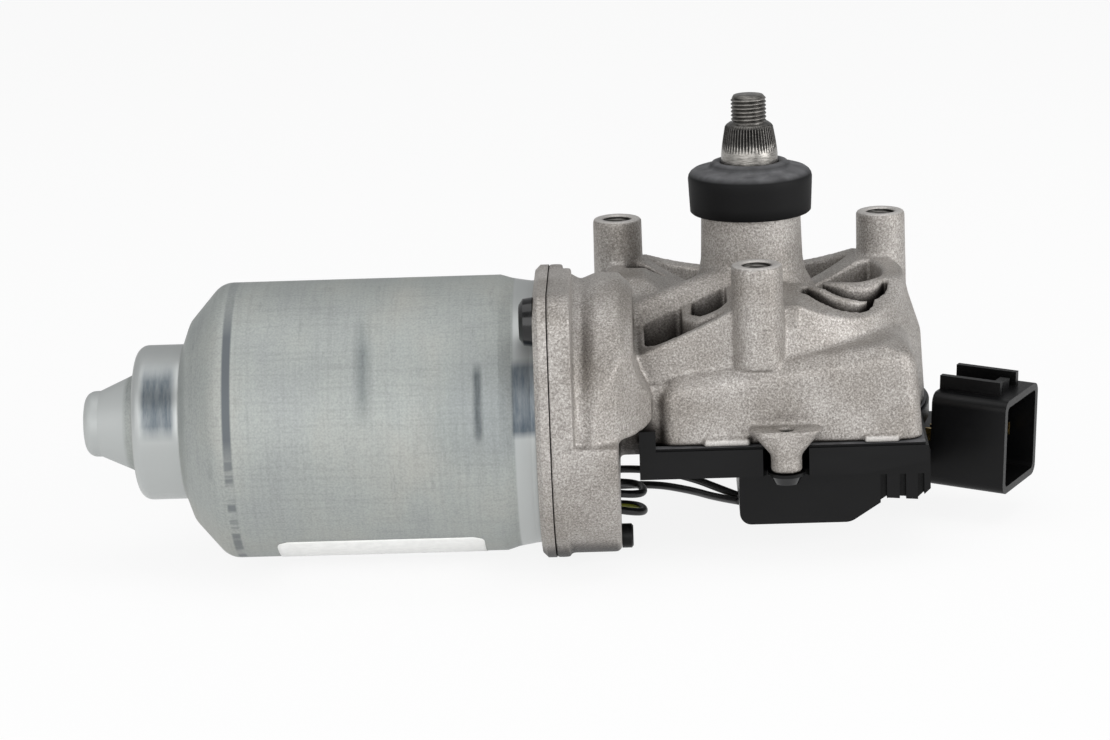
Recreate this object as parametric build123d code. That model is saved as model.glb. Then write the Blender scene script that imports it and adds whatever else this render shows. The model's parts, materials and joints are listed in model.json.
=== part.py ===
from build123d import *
from math import acos, atan, cos, degrees, pi, radians, sin, tan
import os

os.makedirs("parts", exist_ok=True)

# Front wiper motor. Millimetres. The output shaft runs along Z, and Z = 0 is the plane of the three
# mounting post faces. The armature runs along X, in front of the output shaft and below it.

# ---------------------------------------------------------------- fits
RUN = 0.04            # radial clearance of a shaft in its bush
SEAT = 0.02           # radial clearance of a pressed or fitted seat
FREE = 0.3            # gap between pieces that move past each other
BACKLASH = 0.22       # play between worm thread and wheel tooth, along the pitch line

# ---------------------------------------------------------------- worm drive
MODULE = 1.0
WHEEL_TEETH = 46
PRESSURE_ANGLE = 20.0
WORM_PITCH_R = 5.0
WORM_LENGTH = 20.0
WHEEL_WIDTH = 9.0
LEAD = pi * MODULE
WHEEL_PITCH_R = MODULE * WHEEL_TEETH / 2
WORM_TIP_R = WORM_PITCH_R + MODULE
WORM_ROOT_R = WORM_PITCH_R - 1.25 * MODULE
WHEEL_TIP_R = WHEEL_PITCH_R + MODULE
WHEEL_ROOT_R = WHEEL_PITCH_R - 1.25 * MODULE

# motor axis: parallel to X through this point
AXIS_Y = -(WORM_PITCH_R + WHEEL_PITCH_R)
AXIS_Z = -33.5

# ---------------------------------------------------------------- yoke (drawn steel can)
NOSE_X = -148.7
NOSE_R = 7.2
NOSE_WALL = 1.8
DRUM_X = -136.4
DRUM_R = 17.1
SHOULDER_X = -126.2
CAN_X = -117.2
CAN_R = 30.4
CAN_WALL = 2.8
RELIEF_X = -56.0
RELIEF_R = 28.9
JOINT_X = -45.3       # plane where the yoke flange meets the casting
YOKE_FLANGE = 2.9
FLANGE_R = 32.3
FLANGE_CORNER_R = 8.0
BOLT_INSET_Y = 7.3
BOLT_INSET_Z = 6.0
BOLT_OFFSET_Y = -(FLANGE_R - BOLT_INSET_Y)
BOLT_OFFSET_Z = FLANGE_R - BOLT_INSET_Z
BOLT_R = 2.5
BOLT_HEAD_R = 5.3
BOLT_HEAD = 2.9
BOLT_DEPTH = 3.7      # depth of the bolts in the casting

# ---------------------------------------------------------------- armature
JOURNAL_R = 3.0
SPINDLE_R = 4.0
REAR_BUSH_LENGTH = 7.0
FRONT_BUSH_X = 20.0
FRONT_BUSH_LENGTH = 8.0
FRONT_BUSH_R = 5.0
THRUST_PAD = 1.4
CORE_X = -110.0
CORE_LENGTH = 44.0
CORE_R = 21.0
CORE_SLOTS = 12
AIR_GAP = 0.6
MAGNET_ARC = 136.0
MAGNET_OVERHANG = 2.0
COMMUTATOR_X = -57.0
COMMUTATOR_LENGTH = 13.0
COMMUTATOR_R = 11.5

# self-aligning sintered bush between commutator and worm
BEARING_X = -38.0
BEARING_WIDTH = 8.0
BEARING_R = 7.5
BEARING_CAP_R = 6.4   # radius of the flattened ends of the barrel-shaped bush
RETAINER_R = 11.0
RETAINER_THICK = 0.8

# ---------------------------------------------------------------- brush gear
PLATE_X = -44.5
PLATE_THICK = 2.2
PLATE_R = 26.9
PLATE_HOLE_R = 13.5
BRUSH_WIDTH = 6.0
BRUSH_AXIAL = 5.4
BRUSH_LENGTH = 9.5
BRUSH_ANGLES = (15.0, 195.0, 250.0)
CHOKE_ANGLES = (100.0, 312.0)
CHOKE_RADIUS_AT = 20.5

# ---------------------------------------------------------------- gear housing
CASE_FLANGE = 3.0
CASE_PAD = 5.1        # depth of the two bolt pads
NECK_R = 30.2
NECK_END_X = -27.2
CUP_R = 31.4
CUP_END_X = -30.9
CUP_CAVITY_R = 26.0
CAVITY_END_X = -40.5
SKIRT_Z = -34.0
FOOT_Z = -64.0
RIM_Z = -10.0
CASE_TOP_R = 34.0
CASE_WAIST_R = 35.2
CASE_WAIST_Z = -15.6
CASE_SIDE_R = 37.8
CASE_SIDE_Z = -23.8
CASE_FOOT_R = 38.6
SPLIT_Z = -39.3       # plane of the cover joint
FRONT_Y = -40.0
LEDGE_Z = -21.8
LEFT_WALL_Y = -36.6    # front face of the upper wall left of the front post
BLOCK_LEFT_X = -22.6
BLOCK_RIGHT_X = 34.0
FRONT_ROUND = 4.5
CHAMBER_R = 26.4
CEILING_Z = -27.0
POCKET_FLOOR_Z = -24.3
SHELF_FLOOR_Z = -17.5
TUNNEL_R = 7.2
TUNNEL_OUTER_R = 10.2
TUNNEL_END_X = 32.0
DECK_Z = -12.6
RIB_R = 4.2
RIB_CREST_Z = -6.2    # top of the neck rib at the tower
RIB_FOOT_Z = -13.0    # and at the neck
LEDGE_SLOPE = 0.13     # rise of the front ledge towards the connector

# mounting posts
POST_PCD = 70.0
POST_COUNT = 3
POST_R = 5.6
POST_BORE_R = 2.75
POST_MOUTH_R = 3.0
POST_DEPTH = 16.0
POST_FOOT_Z = -30.0
POST_DRAFT = 0.5

# ---------------------------------------------------------------- output shaft and tower
SHAFT_R = 6.35
TOWER_R = 11.2
TOWER_TOP_Z = 9.0
TOWER_BUSH_R = 8.4
UPPER_BUSH_LENGTH = 12.0
LOWER_BUSH_LENGTH = 11.0
STUD_R = 4.0
STUD_TOP_Z = 30.8
TAPER_TOP_Z = 24.7
TAPER_TOP_R = 5.4
TAPER_FOOT_Z = 17.4
SHAFT_FOOT_Z = -41.0
CIRCLIP_THICK = 1.0
GROOVE_DEPTH = 0.7
WASHER_THICK = 0.8
CAP_R = 14.0
CAP_FOOT_Z = 4.4
CAP_TOP_Z = 14.2
CAP_LIP_Z = 16.0

# ---------------------------------------------------------------- cover, terminal box, connector
GASKET = 0.5
COVER_FRONT_Y = -42.0
COVER_LEFT_X = -26.5
COVER_RIGHT_X = 36.2
COVER_R = 39.6
COVER_FLOOR_Z = -46.0
COVER_WALL = 2.0
COVER_RISE_X = 22.0
COVER_RISE = 0.185    # slope of the underside beyond that
SCREW_R = 1.6
SCREW_HEAD_R = 3.6
SCREW_HEAD = 1.9
FRONT_BOSS = (5.3, -43.4)
EAR_ANGLES = (50.0, 89.0, 128.0)
EAR_PITCH_R = 43.6
EAR_R = 4.6
BOSS_FOOT_Z = -44.4
BOSS_CLEAR_R = 5.2
FRONT_EAR = 0.7       # thickness of the cover under the front boss
EAR_THICK = 3.0
CLIP_TOP_Z = -35.2
BOX_LEFT_X = -4.8
BOX_FRONT_Y = -34.0
BOX_BACK_Y = -8.0
BOX_FOOT_Z = -59.2
SOCKET_TURN = 26.0    # degrees the connector turns towards the front
SOCKET_DROOP = 2.5
SOCKET_WIDTH = 21.3
SOCKET_HEIGHT = 21.7
SOCKET_LENGTH = 17.5
SOCKET_WALL = 1.6
SOCKET_DEPTH = 14.0
SOCKET_FACE = (59.4, -10.4, -47.8)
BLADE_COUNT = 5

# ---------------------------------------------------------------- leads
LEAD_R = 0.875


def outline(points, rounds=None):
    """A flat face through the points, with the numbered corners rounded."""
    face = make_face(Polyline(*points, close=True))
    for index, radius in (rounds or {}).items():
        corner = Vector(*points[index])
        vertex = min(face.vertices(), key=lambda v: (Vector(v) - corner).length)
        face = fillet(vertex, radius)
    return face


def about_motor(shape):
    """Move a piece drawn about the X axis onto the motor axis."""
    return Pos(0, AXIS_Y, AXIS_Z) * shape


def turned_x(points, rounds=None):
    """Turn a closed (x, radius) outline about the motor axis."""
    return about_motor(revolve(outline(points, rounds), Axis.X))


def turned_z(points, rounds=None):
    """Turn a closed (radius, z) outline about the output shaft's axis."""
    return revolve(Plane.XZ * outline(points, rounds), Axis.Z)


def rod_x(radius, x_low, x_high):
    """A round bar on the motor axis."""
    bar = extrude(Plane.YZ.offset(x_low) * Circle(radius), x_high - x_low)
    return about_motor(bar)


def rod_z(radius, z_low, z_high, x=0.0, y=0.0):
    """An upright round bar."""
    return extrude(Pos(x, y, z_low) * Circle(radius), z_high - z_low)


def block(x_low, x_high, y_low, y_high, z_low, z_high):
    """A straight block between two corners."""
    size = (x_high - x_low, y_high - y_low, z_high - z_low)
    centre = ((x_low + x_high) / 2, (y_low + y_high) / 2, (z_low + z_high) / 2)
    return Pos(*centre) * Box(*size)


def plate_x(face, x_low, thickness):
    """A plate across the motor axis, from a face drawn with (y, z) from that axis."""
    across = Plane(origin=(x_low, AXIS_Y, AXIS_Z), x_dir=(0, 1, 0), z_dir=(1, 0, 0))
    return extrude(across * face, thickness)


def ring_z(inner, outer, z_low, z_high):
    """A flat ring about the output shaft."""
    return turned_z([(inner, z_low), (outer, z_low), (outer, z_high), (inner, z_high)])


def ring_x(inner, outer, x_low, x_high):
    """A ring about the motor axis."""
    return turned_x([(x_low, inner), (x_high, inner), (x_high, outer), (x_low, outer)])


def polar(radius, angle):
    return (radius * cos(radians(angle)), radius * sin(radians(angle)))


def save(name, *solids):
    """Write one node; several separate solids go into one file."""
    shape = solids[0] if len(solids) == 1 else Compound(children=list(solids))
    export_step(shape, f"parts/{name}.step")


# ================================================================ yoke and field

def flange_face():
    """Round flange with two squared corners, front top and rear bottom, for the bolts."""
    corner = RectangleRounded(2 * FLANGE_R, 2 * FLANGE_R, FLANGE_CORNER_R)
    front_top = Pos(-FLANGE_R / 2, FLANGE_R / 2) * Rectangle(FLANGE_R, FLANGE_R)
    rear_bottom = Pos(FLANGE_R / 2, -FLANGE_R / 2) * Rectangle(FLANGE_R, FLANGE_R)
    return Circle(FLANGE_R) + (corner & (front_top + rear_bottom))


def bolt_places():
    return [(BOLT_OFFSET_Y, BOLT_OFFSET_Z), (-BOLT_OFFSET_Y, -BOLT_OFFSET_Z)]


def bolt_holes(radius, x_low, x_high):
    holes = [Pos(y, z) * Circle(radius) for y, z in bolt_places()]
    return plate_x(holes[0] + holes[1], x_low, x_high - x_low)


def yoke_case():
    mouth_x = JOINT_X - YOKE_FLANGE
    outer = turned_x(
        [(NOSE_X, 0), (NOSE_X, NOSE_R), (NOSE_X + 3.4, NOSE_R + 0.1), (DRUM_X - 0.9, 10.9),
         (DRUM_X, DRUM_R), (SHOULDER_X, DRUM_R), (SHOULDER_X + 2.0, 22.4), (CAN_X, CAN_R),
         (RELIEF_X, CAN_R), (RELIEF_X + 2.6, 29.6), (RELIEF_X + 6.7, RELIEF_R),
         (mouth_x, RELIEF_R), (mouth_x, 0)],
        {1: 2.4, 4: 2.6, 6: 4.0, 7: 5.0})
    bore = CAN_R - CAN_WALL
    inner = turned_x(
        [(NOSE_X + NOSE_WALL, 0), (NOSE_X + NOSE_WALL, NOSE_R - NOSE_WALL),
         (NOSE_X + 10.0, NOSE_R - NOSE_WALL), (DRUM_X + 1.4, 9.0), (DRUM_X + 2.2, DRUM_R - 2.0),
         (SHOULDER_X + 1.2, DRUM_R - 2.0), (SHOULDER_X + 4.0, 21.0), (CAN_X + 2.0, bore),
         (JOINT_X, bore), (JOINT_X, 0)])
    flange = plate_x(flange_face(), mouth_x, YOKE_FLANGE)
    rear_edges = flange.edges().filter_by(Plane.YZ).group_by(Axis.X)[0]
    flange = chamfer(rear_edges, 1.1)
    return outer + flange - inner - bolt_holes(BOLT_R + 0.3, mouth_x - 1, JOINT_X + 1)


def field_magnets():
    outer = CAN_R - CAN_WALL - SEAT
    inner = CORE_R + AIR_GAP
    x_low = CORE_X - MAGNET_OVERHANG
    length = CORE_LENGTH + 2 * MAGNET_OVERHANG
    half = MAGNET_ARC / 2
    arcs = []
    for side in (90, 270):
        points = [polar(inner, side - half), polar(inner, side), polar(inner, side + half),
                  polar(outer, side + half), polar(outer, side), polar(outer, side - half)]
        face = make_face([ThreePointArc(*points[:3]), Line(points[2], points[3]),
                          ThreePointArc(*points[3:]), Line(points[5], points[0])])
        arcs.append(plate_x(face, x_low, length))
    return arcs


def magnet_clips():
    """Bent spring strips that push the two magnets apart."""
    outer = CAN_R - CAN_WALL - 0.1
    spread = 180 - MAGNET_ARC
    clips = []
    for side in (0, 180):
        left, right = side - spread / 2 + 1.2, side + spread / 2 - 1.2
        base = make_face([
            ThreePointArc(polar(outer, left), polar(outer, side), polar(outer, right)),
            Line(polar(outer, right), polar(outer - 4.5, right)),
            Line(polar(outer - 4.5, right), polar(outer - 4.5, right - 1.8)),
            Line(polar(outer - 4.5, right - 1.8), polar(outer - 0.8, right - 1.8)),
            ThreePointArc(polar(outer - 0.8, right - 1.8), polar(outer - 0.8, side),
                          polar(outer - 0.8, left + 1.8)),
            Line(polar(outer - 0.8, left + 1.8), polar(outer - 4.5, left + 1.8)),
            Line(polar(outer - 4.5, left + 1.8), polar(outer - 4.5, left)),
            Line(polar(outer - 4.5, left), polar(outer, left))])
        clips.append(plate_x(base, CORE_X + 4, CORE_LENGTH - 8))
    return clips


def yoke_bolts():
    head_x = JOINT_X - YOKE_FLANGE
    bolts = []
    for y, z in bolt_places():
        profile = outline(
            [(head_x - BOLT_HEAD, 0), (head_x - BOLT_HEAD, BOLT_HEAD_R - 1.6),
             (head_x - BOLT_HEAD + 0.9, BOLT_HEAD_R - 0.3), (head_x, BOLT_HEAD_R),
             (head_x, BOLT_R), (JOINT_X + BOLT_DEPTH, BOLT_R), (JOINT_X + BOLT_DEPTH, 0)])
        bolts.append(Pos(0, AXIS_Y + y, AXIS_Z + z) * revolve(profile, Axis.X))
    return bolts


def rear_bush():
    x_low = NOSE_X + NOSE_WALL + THRUST_PAD
    outer = NOSE_R - NOSE_WALL - SEAT
    return turned_x(
        [(x_low, JOURNAL_R + RUN), (x_low + REAR_BUSH_LENGTH, JOURNAL_R + RUN),
         (x_low + REAR_BUSH_LENGTH, outer - 0.5), (x_low + REAR_BUSH_LENGTH - 0.5, outer),
         (x_low, outer)])


def rear_thrust_pad():
    x_low = NOSE_X + NOSE_WALL
    return rod_x(NOSE_R - NOSE_WALL - 2 * SEAT, x_low, x_low + THRUST_PAD)


# ================================================================ armature

def worm_thread():
    """Single-start right-hand thread, with a thread space facing the wheel at X = 0."""
    slope = tan(radians(PRESSURE_ANGLE))
    sunk_r = WORM_ROOT_R - 0.15
    half_pitch = (pi * MODULE / 2 - BACKLASH / 2) / 2
    half_root = half_pitch + (WORM_PITCH_R - sunk_r) * slope
    half_tip = half_pitch - MODULE * slope
    turns = round(WORM_LENGTH / LEAD - 1)
    start = -(turns * LEAD) / 2
    path = Helix(pitch=LEAD, height=turns * LEAD, radius=WORM_PITCH_R)
    face = Plane.XZ * outline([(sunk_r, -half_root), (WORM_TIP_R, -half_tip),
                               (WORM_TIP_R, half_tip), (sunk_r, half_root)])
    thread = sweep(face, path=path, is_frenet=True)
    # helix axis Z becomes X, and its start (local X) turns to point at the wheel (+Y)
    frame = Plane(origin=(0, AXIS_Y, AXIS_Z), x_dir=(0, 1, 0), z_dir=(1, 0, 0))
    phase = 0 if turns % 2 else 180
    return frame * Pos(0, 0, start) * Rot(0, 0, phase) * thread


def armature_shaft():
    rear_x = NOSE_X + NOSE_WALL + THRUST_PAD + FREE
    journal_end = rear_x + REAR_BUSH_LENGTH + 1.2
    worm_half = WORM_LENGTH / 2
    front_x = FRONT_BUSH_X + FRONT_BUSH_LENGTH + FREE
    bar = turned_x(
        [(rear_x, 0), (rear_x, JOURNAL_R - 0.5), (rear_x + 0.5, JOURNAL_R),
         (journal_end, JOURNAL_R), (journal_end, SPINDLE_R),
         (-worm_half - 2.5, SPINDLE_R),
         (-worm_half, WORM_ROOT_R), (worm_half, WORM_ROOT_R), (worm_half + 1.5, JOURNAL_R),
         (front_x - 0.5, JOURNAL_R), (front_x, JOURNAL_R - 0.5), (front_x, 0)])
    return bar + worm_thread()


def slot_face(outer, neck, width, depth_r):
    """One winding slot, opening outwards: a narrow mouth and a wider pocket behind it."""
    return outline([(outer + 1, -neck / 2), (outer - 1.6, -neck / 2), (outer - 2.6, -width / 2),
                    (depth_r, -width / 4), (depth_r, width / 4), (outer - 2.6, width / 2),
                    (outer - 1.6, neck / 2), (outer + 1, neck / 2)])


def armature_core():
    stack = Circle(CORE_R) - Circle(SPINDLE_R + SEAT)
    slot = slot_face(CORE_R, 2.0, 6.4, 10.5)
    for index in range(CORE_SLOTS):
        stack -= Rot(0, 0, index * 360 / CORE_SLOTS) * slot
    return plate_x(stack, CORE_X, CORE_LENGTH)


def armature_windings():
    """Copper in the slots, joined by the two domed end turns."""
    inset = 0.35
    end_r = CORE_R - 2.6
    overhang = 7.0
    bars = None
    for index in range(CORE_SLOTS):
        bar = outline([(CORE_R - 3.0, -2.5), (10.5 + inset, -1.25), (10.5 + inset, 1.25),
                       (CORE_R - 3.0, 2.5)])
        bar = Rot(0, 0, index * 360 / CORE_SLOTS) * bar
        bars = bar if bars is None else bars + bar
    coils = plate_x(bars, CORE_X - 1, CORE_LENGTH + 2)
    for x, way in ((CORE_X - inset, -1), (CORE_X + CORE_LENGTH + inset, 1)):
        coils += turned_x(
            [(x, SPINDLE_R + 1.2), (x, end_r), (x + way * 3.0, end_r - 0.4),
             (x + way * overhang, end_r - 4.0), (x + way * overhang, SPINDLE_R + 1.2)])
    return coils


def commutator():
    """Copper bars with hooked risers, separated by thin slots."""
    count = CORE_SLOTS
    foot = COMMUTATOR_R - 3.6
    end_x = COMMUTATOR_X + COMMUTATOR_LENGTH
    ring = turned_x([(COMMUTATOR_X, foot), (COMMUTATOR_X, COMMUTATOR_R + 1.4),
                     (COMMUTATOR_X + 1.6, COMMUTATOR_R + 1.4), (COMMUTATOR_X + 1.6, COMMUTATOR_R),
                     (end_x, COMMUTATOR_R), (end_x, foot)])
    gaps = None
    for index in range(count):
        gap = Rot(0, 0, (index + 0.5) * 360 / count) * Pos(COMMUTATOR_R, 0) * Rectangle(12, 0.6)
        gaps = gap if gaps is None else gaps + gap
    return (ring - plate_x(gaps, COMMUTATOR_X - 1, COMMUTATOR_LENGTH + 2)).solids()


def commutator_core():
    return ring_x(SPINDLE_R + SEAT, COMMUTATOR_R - 3.6 - SEAT, COMMUTATOR_X - 0.4,
                  COMMUTATOR_X + COMMUTATOR_LENGTH + 0.4)


# ================================================================ worm shaft bearings

def middle_bush():
    """Barrel-shaped sintered bush, seated at its waist."""
    end_x = BEARING_X + BEARING_WIDTH
    return turned_x([(BEARING_X, SPINDLE_R + RUN), (end_x, SPINDLE_R + RUN),
                     (end_x, BEARING_CAP_R), (end_x - 2.0, BEARING_R - SEAT),
                     (BEARING_X + 2.0, BEARING_R - SEAT), (BEARING_X, BEARING_CAP_R)])


def bush_retainer():
    """Dished spring washer with eight fingers that holds the bush in its seat."""
    x = BEARING_X - RETAINER_THICK - SEAT
    disc = Circle(RETAINER_R) - Circle(SPINDLE_R + 1.5)
    for index in range(8):
        disc -= Rot(0, 0, index * 45) * Pos(SPINDLE_R + 3.2, 0) * Rectangle(4.5, 1.0)
    return plate_x(disc, x, RETAINER_THICK)


def front_bush():
    return ring_x(JOURNAL_R + RUN, FRONT_BUSH_R - SEAT, FRONT_BUSH_X,
                  FRONT_BUSH_X + FRONT_BUSH_LENGTH)


def front_thrust_pad():
    x_low = FRONT_BUSH_X + FRONT_BUSH_LENGTH + 2 * FREE
    return rod_x(FRONT_BUSH_R - SEAT, x_low, x_low + THRUST_PAD)


# ================================================================ brush gear

def brush_holder_plate():
    plate = Circle(PLATE_R) - Circle(PLATE_HOLE_R)
    for angle in CHOKE_ANGLES:
        plate -= Rot(0, 0, angle + 30) * Pos(CHOKE_RADIUS_AT, 0) * Circle(2.2)
    disc = plate_x(plate, PLATE_X, PLATE_THICK)
    rim = plate_x(Circle(PLATE_R) - Circle(PLATE_R - 1.4), PLATE_X - 2.0, 2.0)
    return disc + rim


BRUSH_BOX_WALL = 0.5
BRUSH_X = PLATE_X - 1.0 - BRUSH_AXIAL
BRUSH_FOOT_R = COMMUTATOR_R + FREE


def brush_boxes():
    """Folded brass guides, open towards the commutator."""
    wide = BRUSH_WIDTH + 2 * (BRUSH_BOX_WALL + 0.1)
    length = 7.0
    boxes = []
    for angle in BRUSH_ANGLES:
        centre = COMMUTATOR_R + 2.4 + length / 2
        shell = Rot(0, 0, angle) * Pos(centre, 0) * Rectangle(length, wide)
        hole = Rot(0, 0, angle) * Pos(centre, 0) * Rectangle(length + 2, BRUSH_WIDTH + 0.2)
        outer = plate_x(shell, BRUSH_X - 0.1 - BRUSH_BOX_WALL, PLATE_X - BRUSH_X + 0.1 + BRUSH_BOX_WALL)
        boxes.append(outer - plate_x(hole, BRUSH_X - 0.1, BRUSH_AXIAL + 0.2))
    return boxes


def carbon_brushes():
    """Carbon blocks, their inner ends hollowed to the commutator's curve."""
    brushes = []
    for angle in BRUSH_ANGLES:
        bar = Pos((BRUSH_FOOT_R + BRUSH_LENGTH) / 2 + 4, 0) * Rectangle(
            BRUSH_FOOT_R + BRUSH_LENGTH - 8, BRUSH_WIDTH)
        bar = Rot(0, 0, angle) * bar - Circle(BRUSH_FOOT_R)
        brushes.append(plate_x(bar, BRUSH_X, BRUSH_AXIAL))
    return brushes


def brush_springs():
    """Flat springs, hooked over the outer end of each brush."""
    tail_r = BRUSH_FOOT_R + BRUSH_LENGTH
    springs = []
    for angle in BRUSH_ANGLES:
        strip = Pos(tail_r + 0.3, 0) * Rectangle(0.5, BRUSH_WIDTH + 3.6)
        strip += Pos(tail_r - 1.7, BRUSH_WIDTH / 2 + 1.55) * Rectangle(4.5, 0.5)
        springs.append(plate_x(Rot(0, 0, angle) * strip, BRUSH_X + 1.2, BRUSH_AXIAL - 2.4))
    return springs


def choke_coils():
    """Two suppression chokes: a ferrite rod in a copper winding, standing on the plate."""
    coils = []
    for angle in CHOKE_ANGLES:
        y, z = polar(CHOKE_RADIUS_AT, angle)
        profile = outline([(PLATE_X - 12.0, 0), (PLATE_X - 12.0, 1.5), (PLATE_X - 10.8, 1.5),
                           (PLATE_X - 10.8, 2.6), (PLATE_X - 1.2, 2.6), (PLATE_X - 1.2, 1.5),
                           (PLATE_X, 1.5), (PLATE_X, 0)])
        coils.append(Pos(0, AXIS_Y + y, AXIS_Z + z) * revolve(profile, Axis.X))
    return coils


# ================================================================ gear housing

def post_places():
    return [polar(POST_PCD / 2, -90 + index * 360 / POST_COUNT) for index in range(POST_COUNT)]


def case_body():
    """Round gear case with its sloping shoulder, front block, straight left wall and worm tunnel."""
    case = turned_z(
        [(0, RIM_Z), (CASE_TOP_R, RIM_Z), (CASE_WAIST_R, CASE_WAIST_Z), (CASE_SIDE_R, CASE_SIDE_Z),
         (CASE_FOOT_R, SPLIT_Z), (0, SPLIT_Z)])
    front = extrude(Plane.XZ.offset(15) * outline(
        [(BLOCK_LEFT_X, SPLIT_Z), (BLOCK_RIGHT_X + 1.4, SPLIT_Z),
         (BLOCK_RIGHT_X, LEDGE_Z + BLOCK_RIGHT_X * LEDGE_SLOPE),
         (BLOCK_LEFT_X, LEDGE_Z + BLOCK_LEFT_X * LEDGE_SLOPE)], {2: 6.0, 3: 6.0}), -FRONT_Y - 15)
    front = fillet(front.faces().filter_by(Axis.Y).sort_by(Axis.Y)[0].edges()
                   .filter_by(lambda edge: edge.center().Z > SPLIT_Z + 1), FRONT_ROUND)
    left_wall = block(BLOCK_LEFT_X - 5, 0, LEFT_WALL_Y, -12.0, LEDGE_Z - 4, RIM_Z)
    left_wall += block(COVER_LEFT_X, -15.0, FRONT_Y + 2, -15.0, SPLIT_Z, LEDGE_Z - 4)
    tunnel = rod_x(TUNNEL_OUTER_R, -30.0, TUNNEL_END_X) - below_rise(COVER_WALL + FREE)
    return case + front + left_wall + tunnel


# dished rim between the posts: direction, depth at the rim, fall per mm outwards, roller radius
SCALLOPS = ((-45, -14.4, 0.38, 60.0), (90, -16.3, 0.0, 50.0), (222, -16.8, 0.34, 60.0))


def rim_scallops():
    """Large rollers that dish the rim and the ribs between the posts."""
    cutters = []
    for angle, depth, fall, radius in SCALLOPS:
        tilt = degrees(atan(fall))
        roller = Pos(0, 0, radius) * Rot(0, 90, 0) * Cylinder(radius, 90)
        cutters.append(Rot(0, 0, angle) * Pos(CASE_TOP_R, 0, depth) * Rot(0, tilt, 0) * roller)
    return cutters


def pocket(face, floor_z):
    """Open-topped casting pocket, cut down to a flat floor."""
    return extrude(Pos(0, 0, floor_z) * face, RIM_Z + 4 - floor_z)


def arc_face(*points):
    """Face whose sides are alternately arcs (three points) and straight closing lines."""
    edges = []
    starts = []
    for index in range(0, len(points), 3):
        edges.append(ThreePointArc(*points[index:index + 3]))
        starts.append((points[index], points[index + 2]))
    for (_, end), (start, _) in zip(starts, starts[1:] + starts[:1]):
        if (Vector(*end) - Vector(*start)).length > 1e-6:
            edges.append(Line(end, start))
    return make_face(edges)


def deck():
    """Flat-topped deck between tower and neck, with a thick round-backed rib along its front."""
    plan = outline([(-2, 4), (-10.5, -4.5), (-27, -16), (-36, -14), (-36, 6.5), (-17, 5.5)])
    slab = extrude(Pos(0, 0, POCKET_FLOOR_Z - 1) * plan, DECK_Z - POCKET_FLOOR_Z + 1)
    crest = Vector(-5.5, -8.0, RIB_CREST_Z - RIB_R)
    foot = Vector(-29.0, -17.0, RIB_FOOT_Z - RIB_R)
    along = Plane(origin=crest, z_dir=foot - crest)
    ridge = extrude(along * Circle(RIB_R), (foot - crest).length)
    skirt = block(-24.0, -6.0, -14.0, -6.0, POCKET_FLOOR_Z, RIB_FOOT_Z - RIB_R)
    return slab + ridge + (skirt & slab)


def top_pockets():
    inner = TOWER_R + 3.0
    rear_right = arc_face(polar(inner, 84), polar(inner, 62), polar(inner, 42),
                          polar(30.6, 41), polar(30.6, 62), polar(30.6, 86))
    rear_left = mirror(rear_right, Plane.YZ)
    large = arc_face((14.3, 4.6), (20.2, -11.6), (29.0, -4.0),
                     (29.3, -2.0), (29.2, 3.0), (27.2, 10.6))
    groove = arc_face((13.4, -6.6), (19.4, -14.0), (29.6, -6.8),
                      (29.8, -8.6), (18.6, -18.4), (12.0, -10.4))
    crescent = arc_face((11.6, -12.4), (17.4, -20.2), (26.6, -15.0),
                        (26.2, -16.4), (16.8, -25.2), (9.8, -18.6))
    near_post = outline([(-6.3, -13.0), (-13.9, -16.0), (-14.2, -22.5), (-12.2, -27.0),
                         (-8.2, -27.4), (-6.3, -24.0)], {3: 2.5, 4: 2.5})
    far_left = outline([(-16.4, -16.9), (-24.8, -20.2), (-24.6, -34.2), (-8.4, -34.2),
                        (-6.9, -32.0), (-9.2, -30.0), (-13.8, -28.8), (-16.2, -25.0)],
                       {2: 4.0, 6: 3.0})
    behind_deck = outline([(-18.0, 8.6), (-28.5, 9.4), (-28.5, 13.6), (-26.4, 13.8)], {1: 1.0})
    deep = [rear_right, rear_left, large, crescent, near_post, far_left, behind_deck]
    return [pocket(face, POCKET_FLOOR_Z) for face in deep] + [pocket(groove, SHELF_FLOOR_Z)]


def tower():
    """Shaft tower with a flared foot."""
    foot_z = RIM_Z - 4.5
    return turned_z(
        [(0, TOWER_TOP_Z), (TOWER_R, TOWER_TOP_Z), (TOWER_R, CAP_FOOT_Z - 0.5),
         (TOWER_R + 0.3, RIM_Z + 3.5),
         (TOWER_R + 0.9, RIM_Z + 0.5), (TOWER_R + 3.6, foot_z), (TOWER_R + 3.6, CEILING_Z),
         (0, CEILING_Z)])


def posts():
    columns = []
    for x, y in post_places():
        height = -POST_FOOT_Z if y > 0 else -LEDGE_Z + 1
        foot_r = POST_R + height * tan(radians(POST_DRAFT))
        column = Pos(x, y, 0) * turned_z([(0, 0), (POST_R, 0), (foot_r, -height), (0, -height)],
                                         {1: 0.7})
        columns.append(column)
    return columns


def post_webs():
    """Solid webs that carry each post back to the case."""
    return [block(-6.0, 8.6, -34.2, -12.0, POCKET_FLOOR_Z, RIM_Z - 0.8)]


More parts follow.
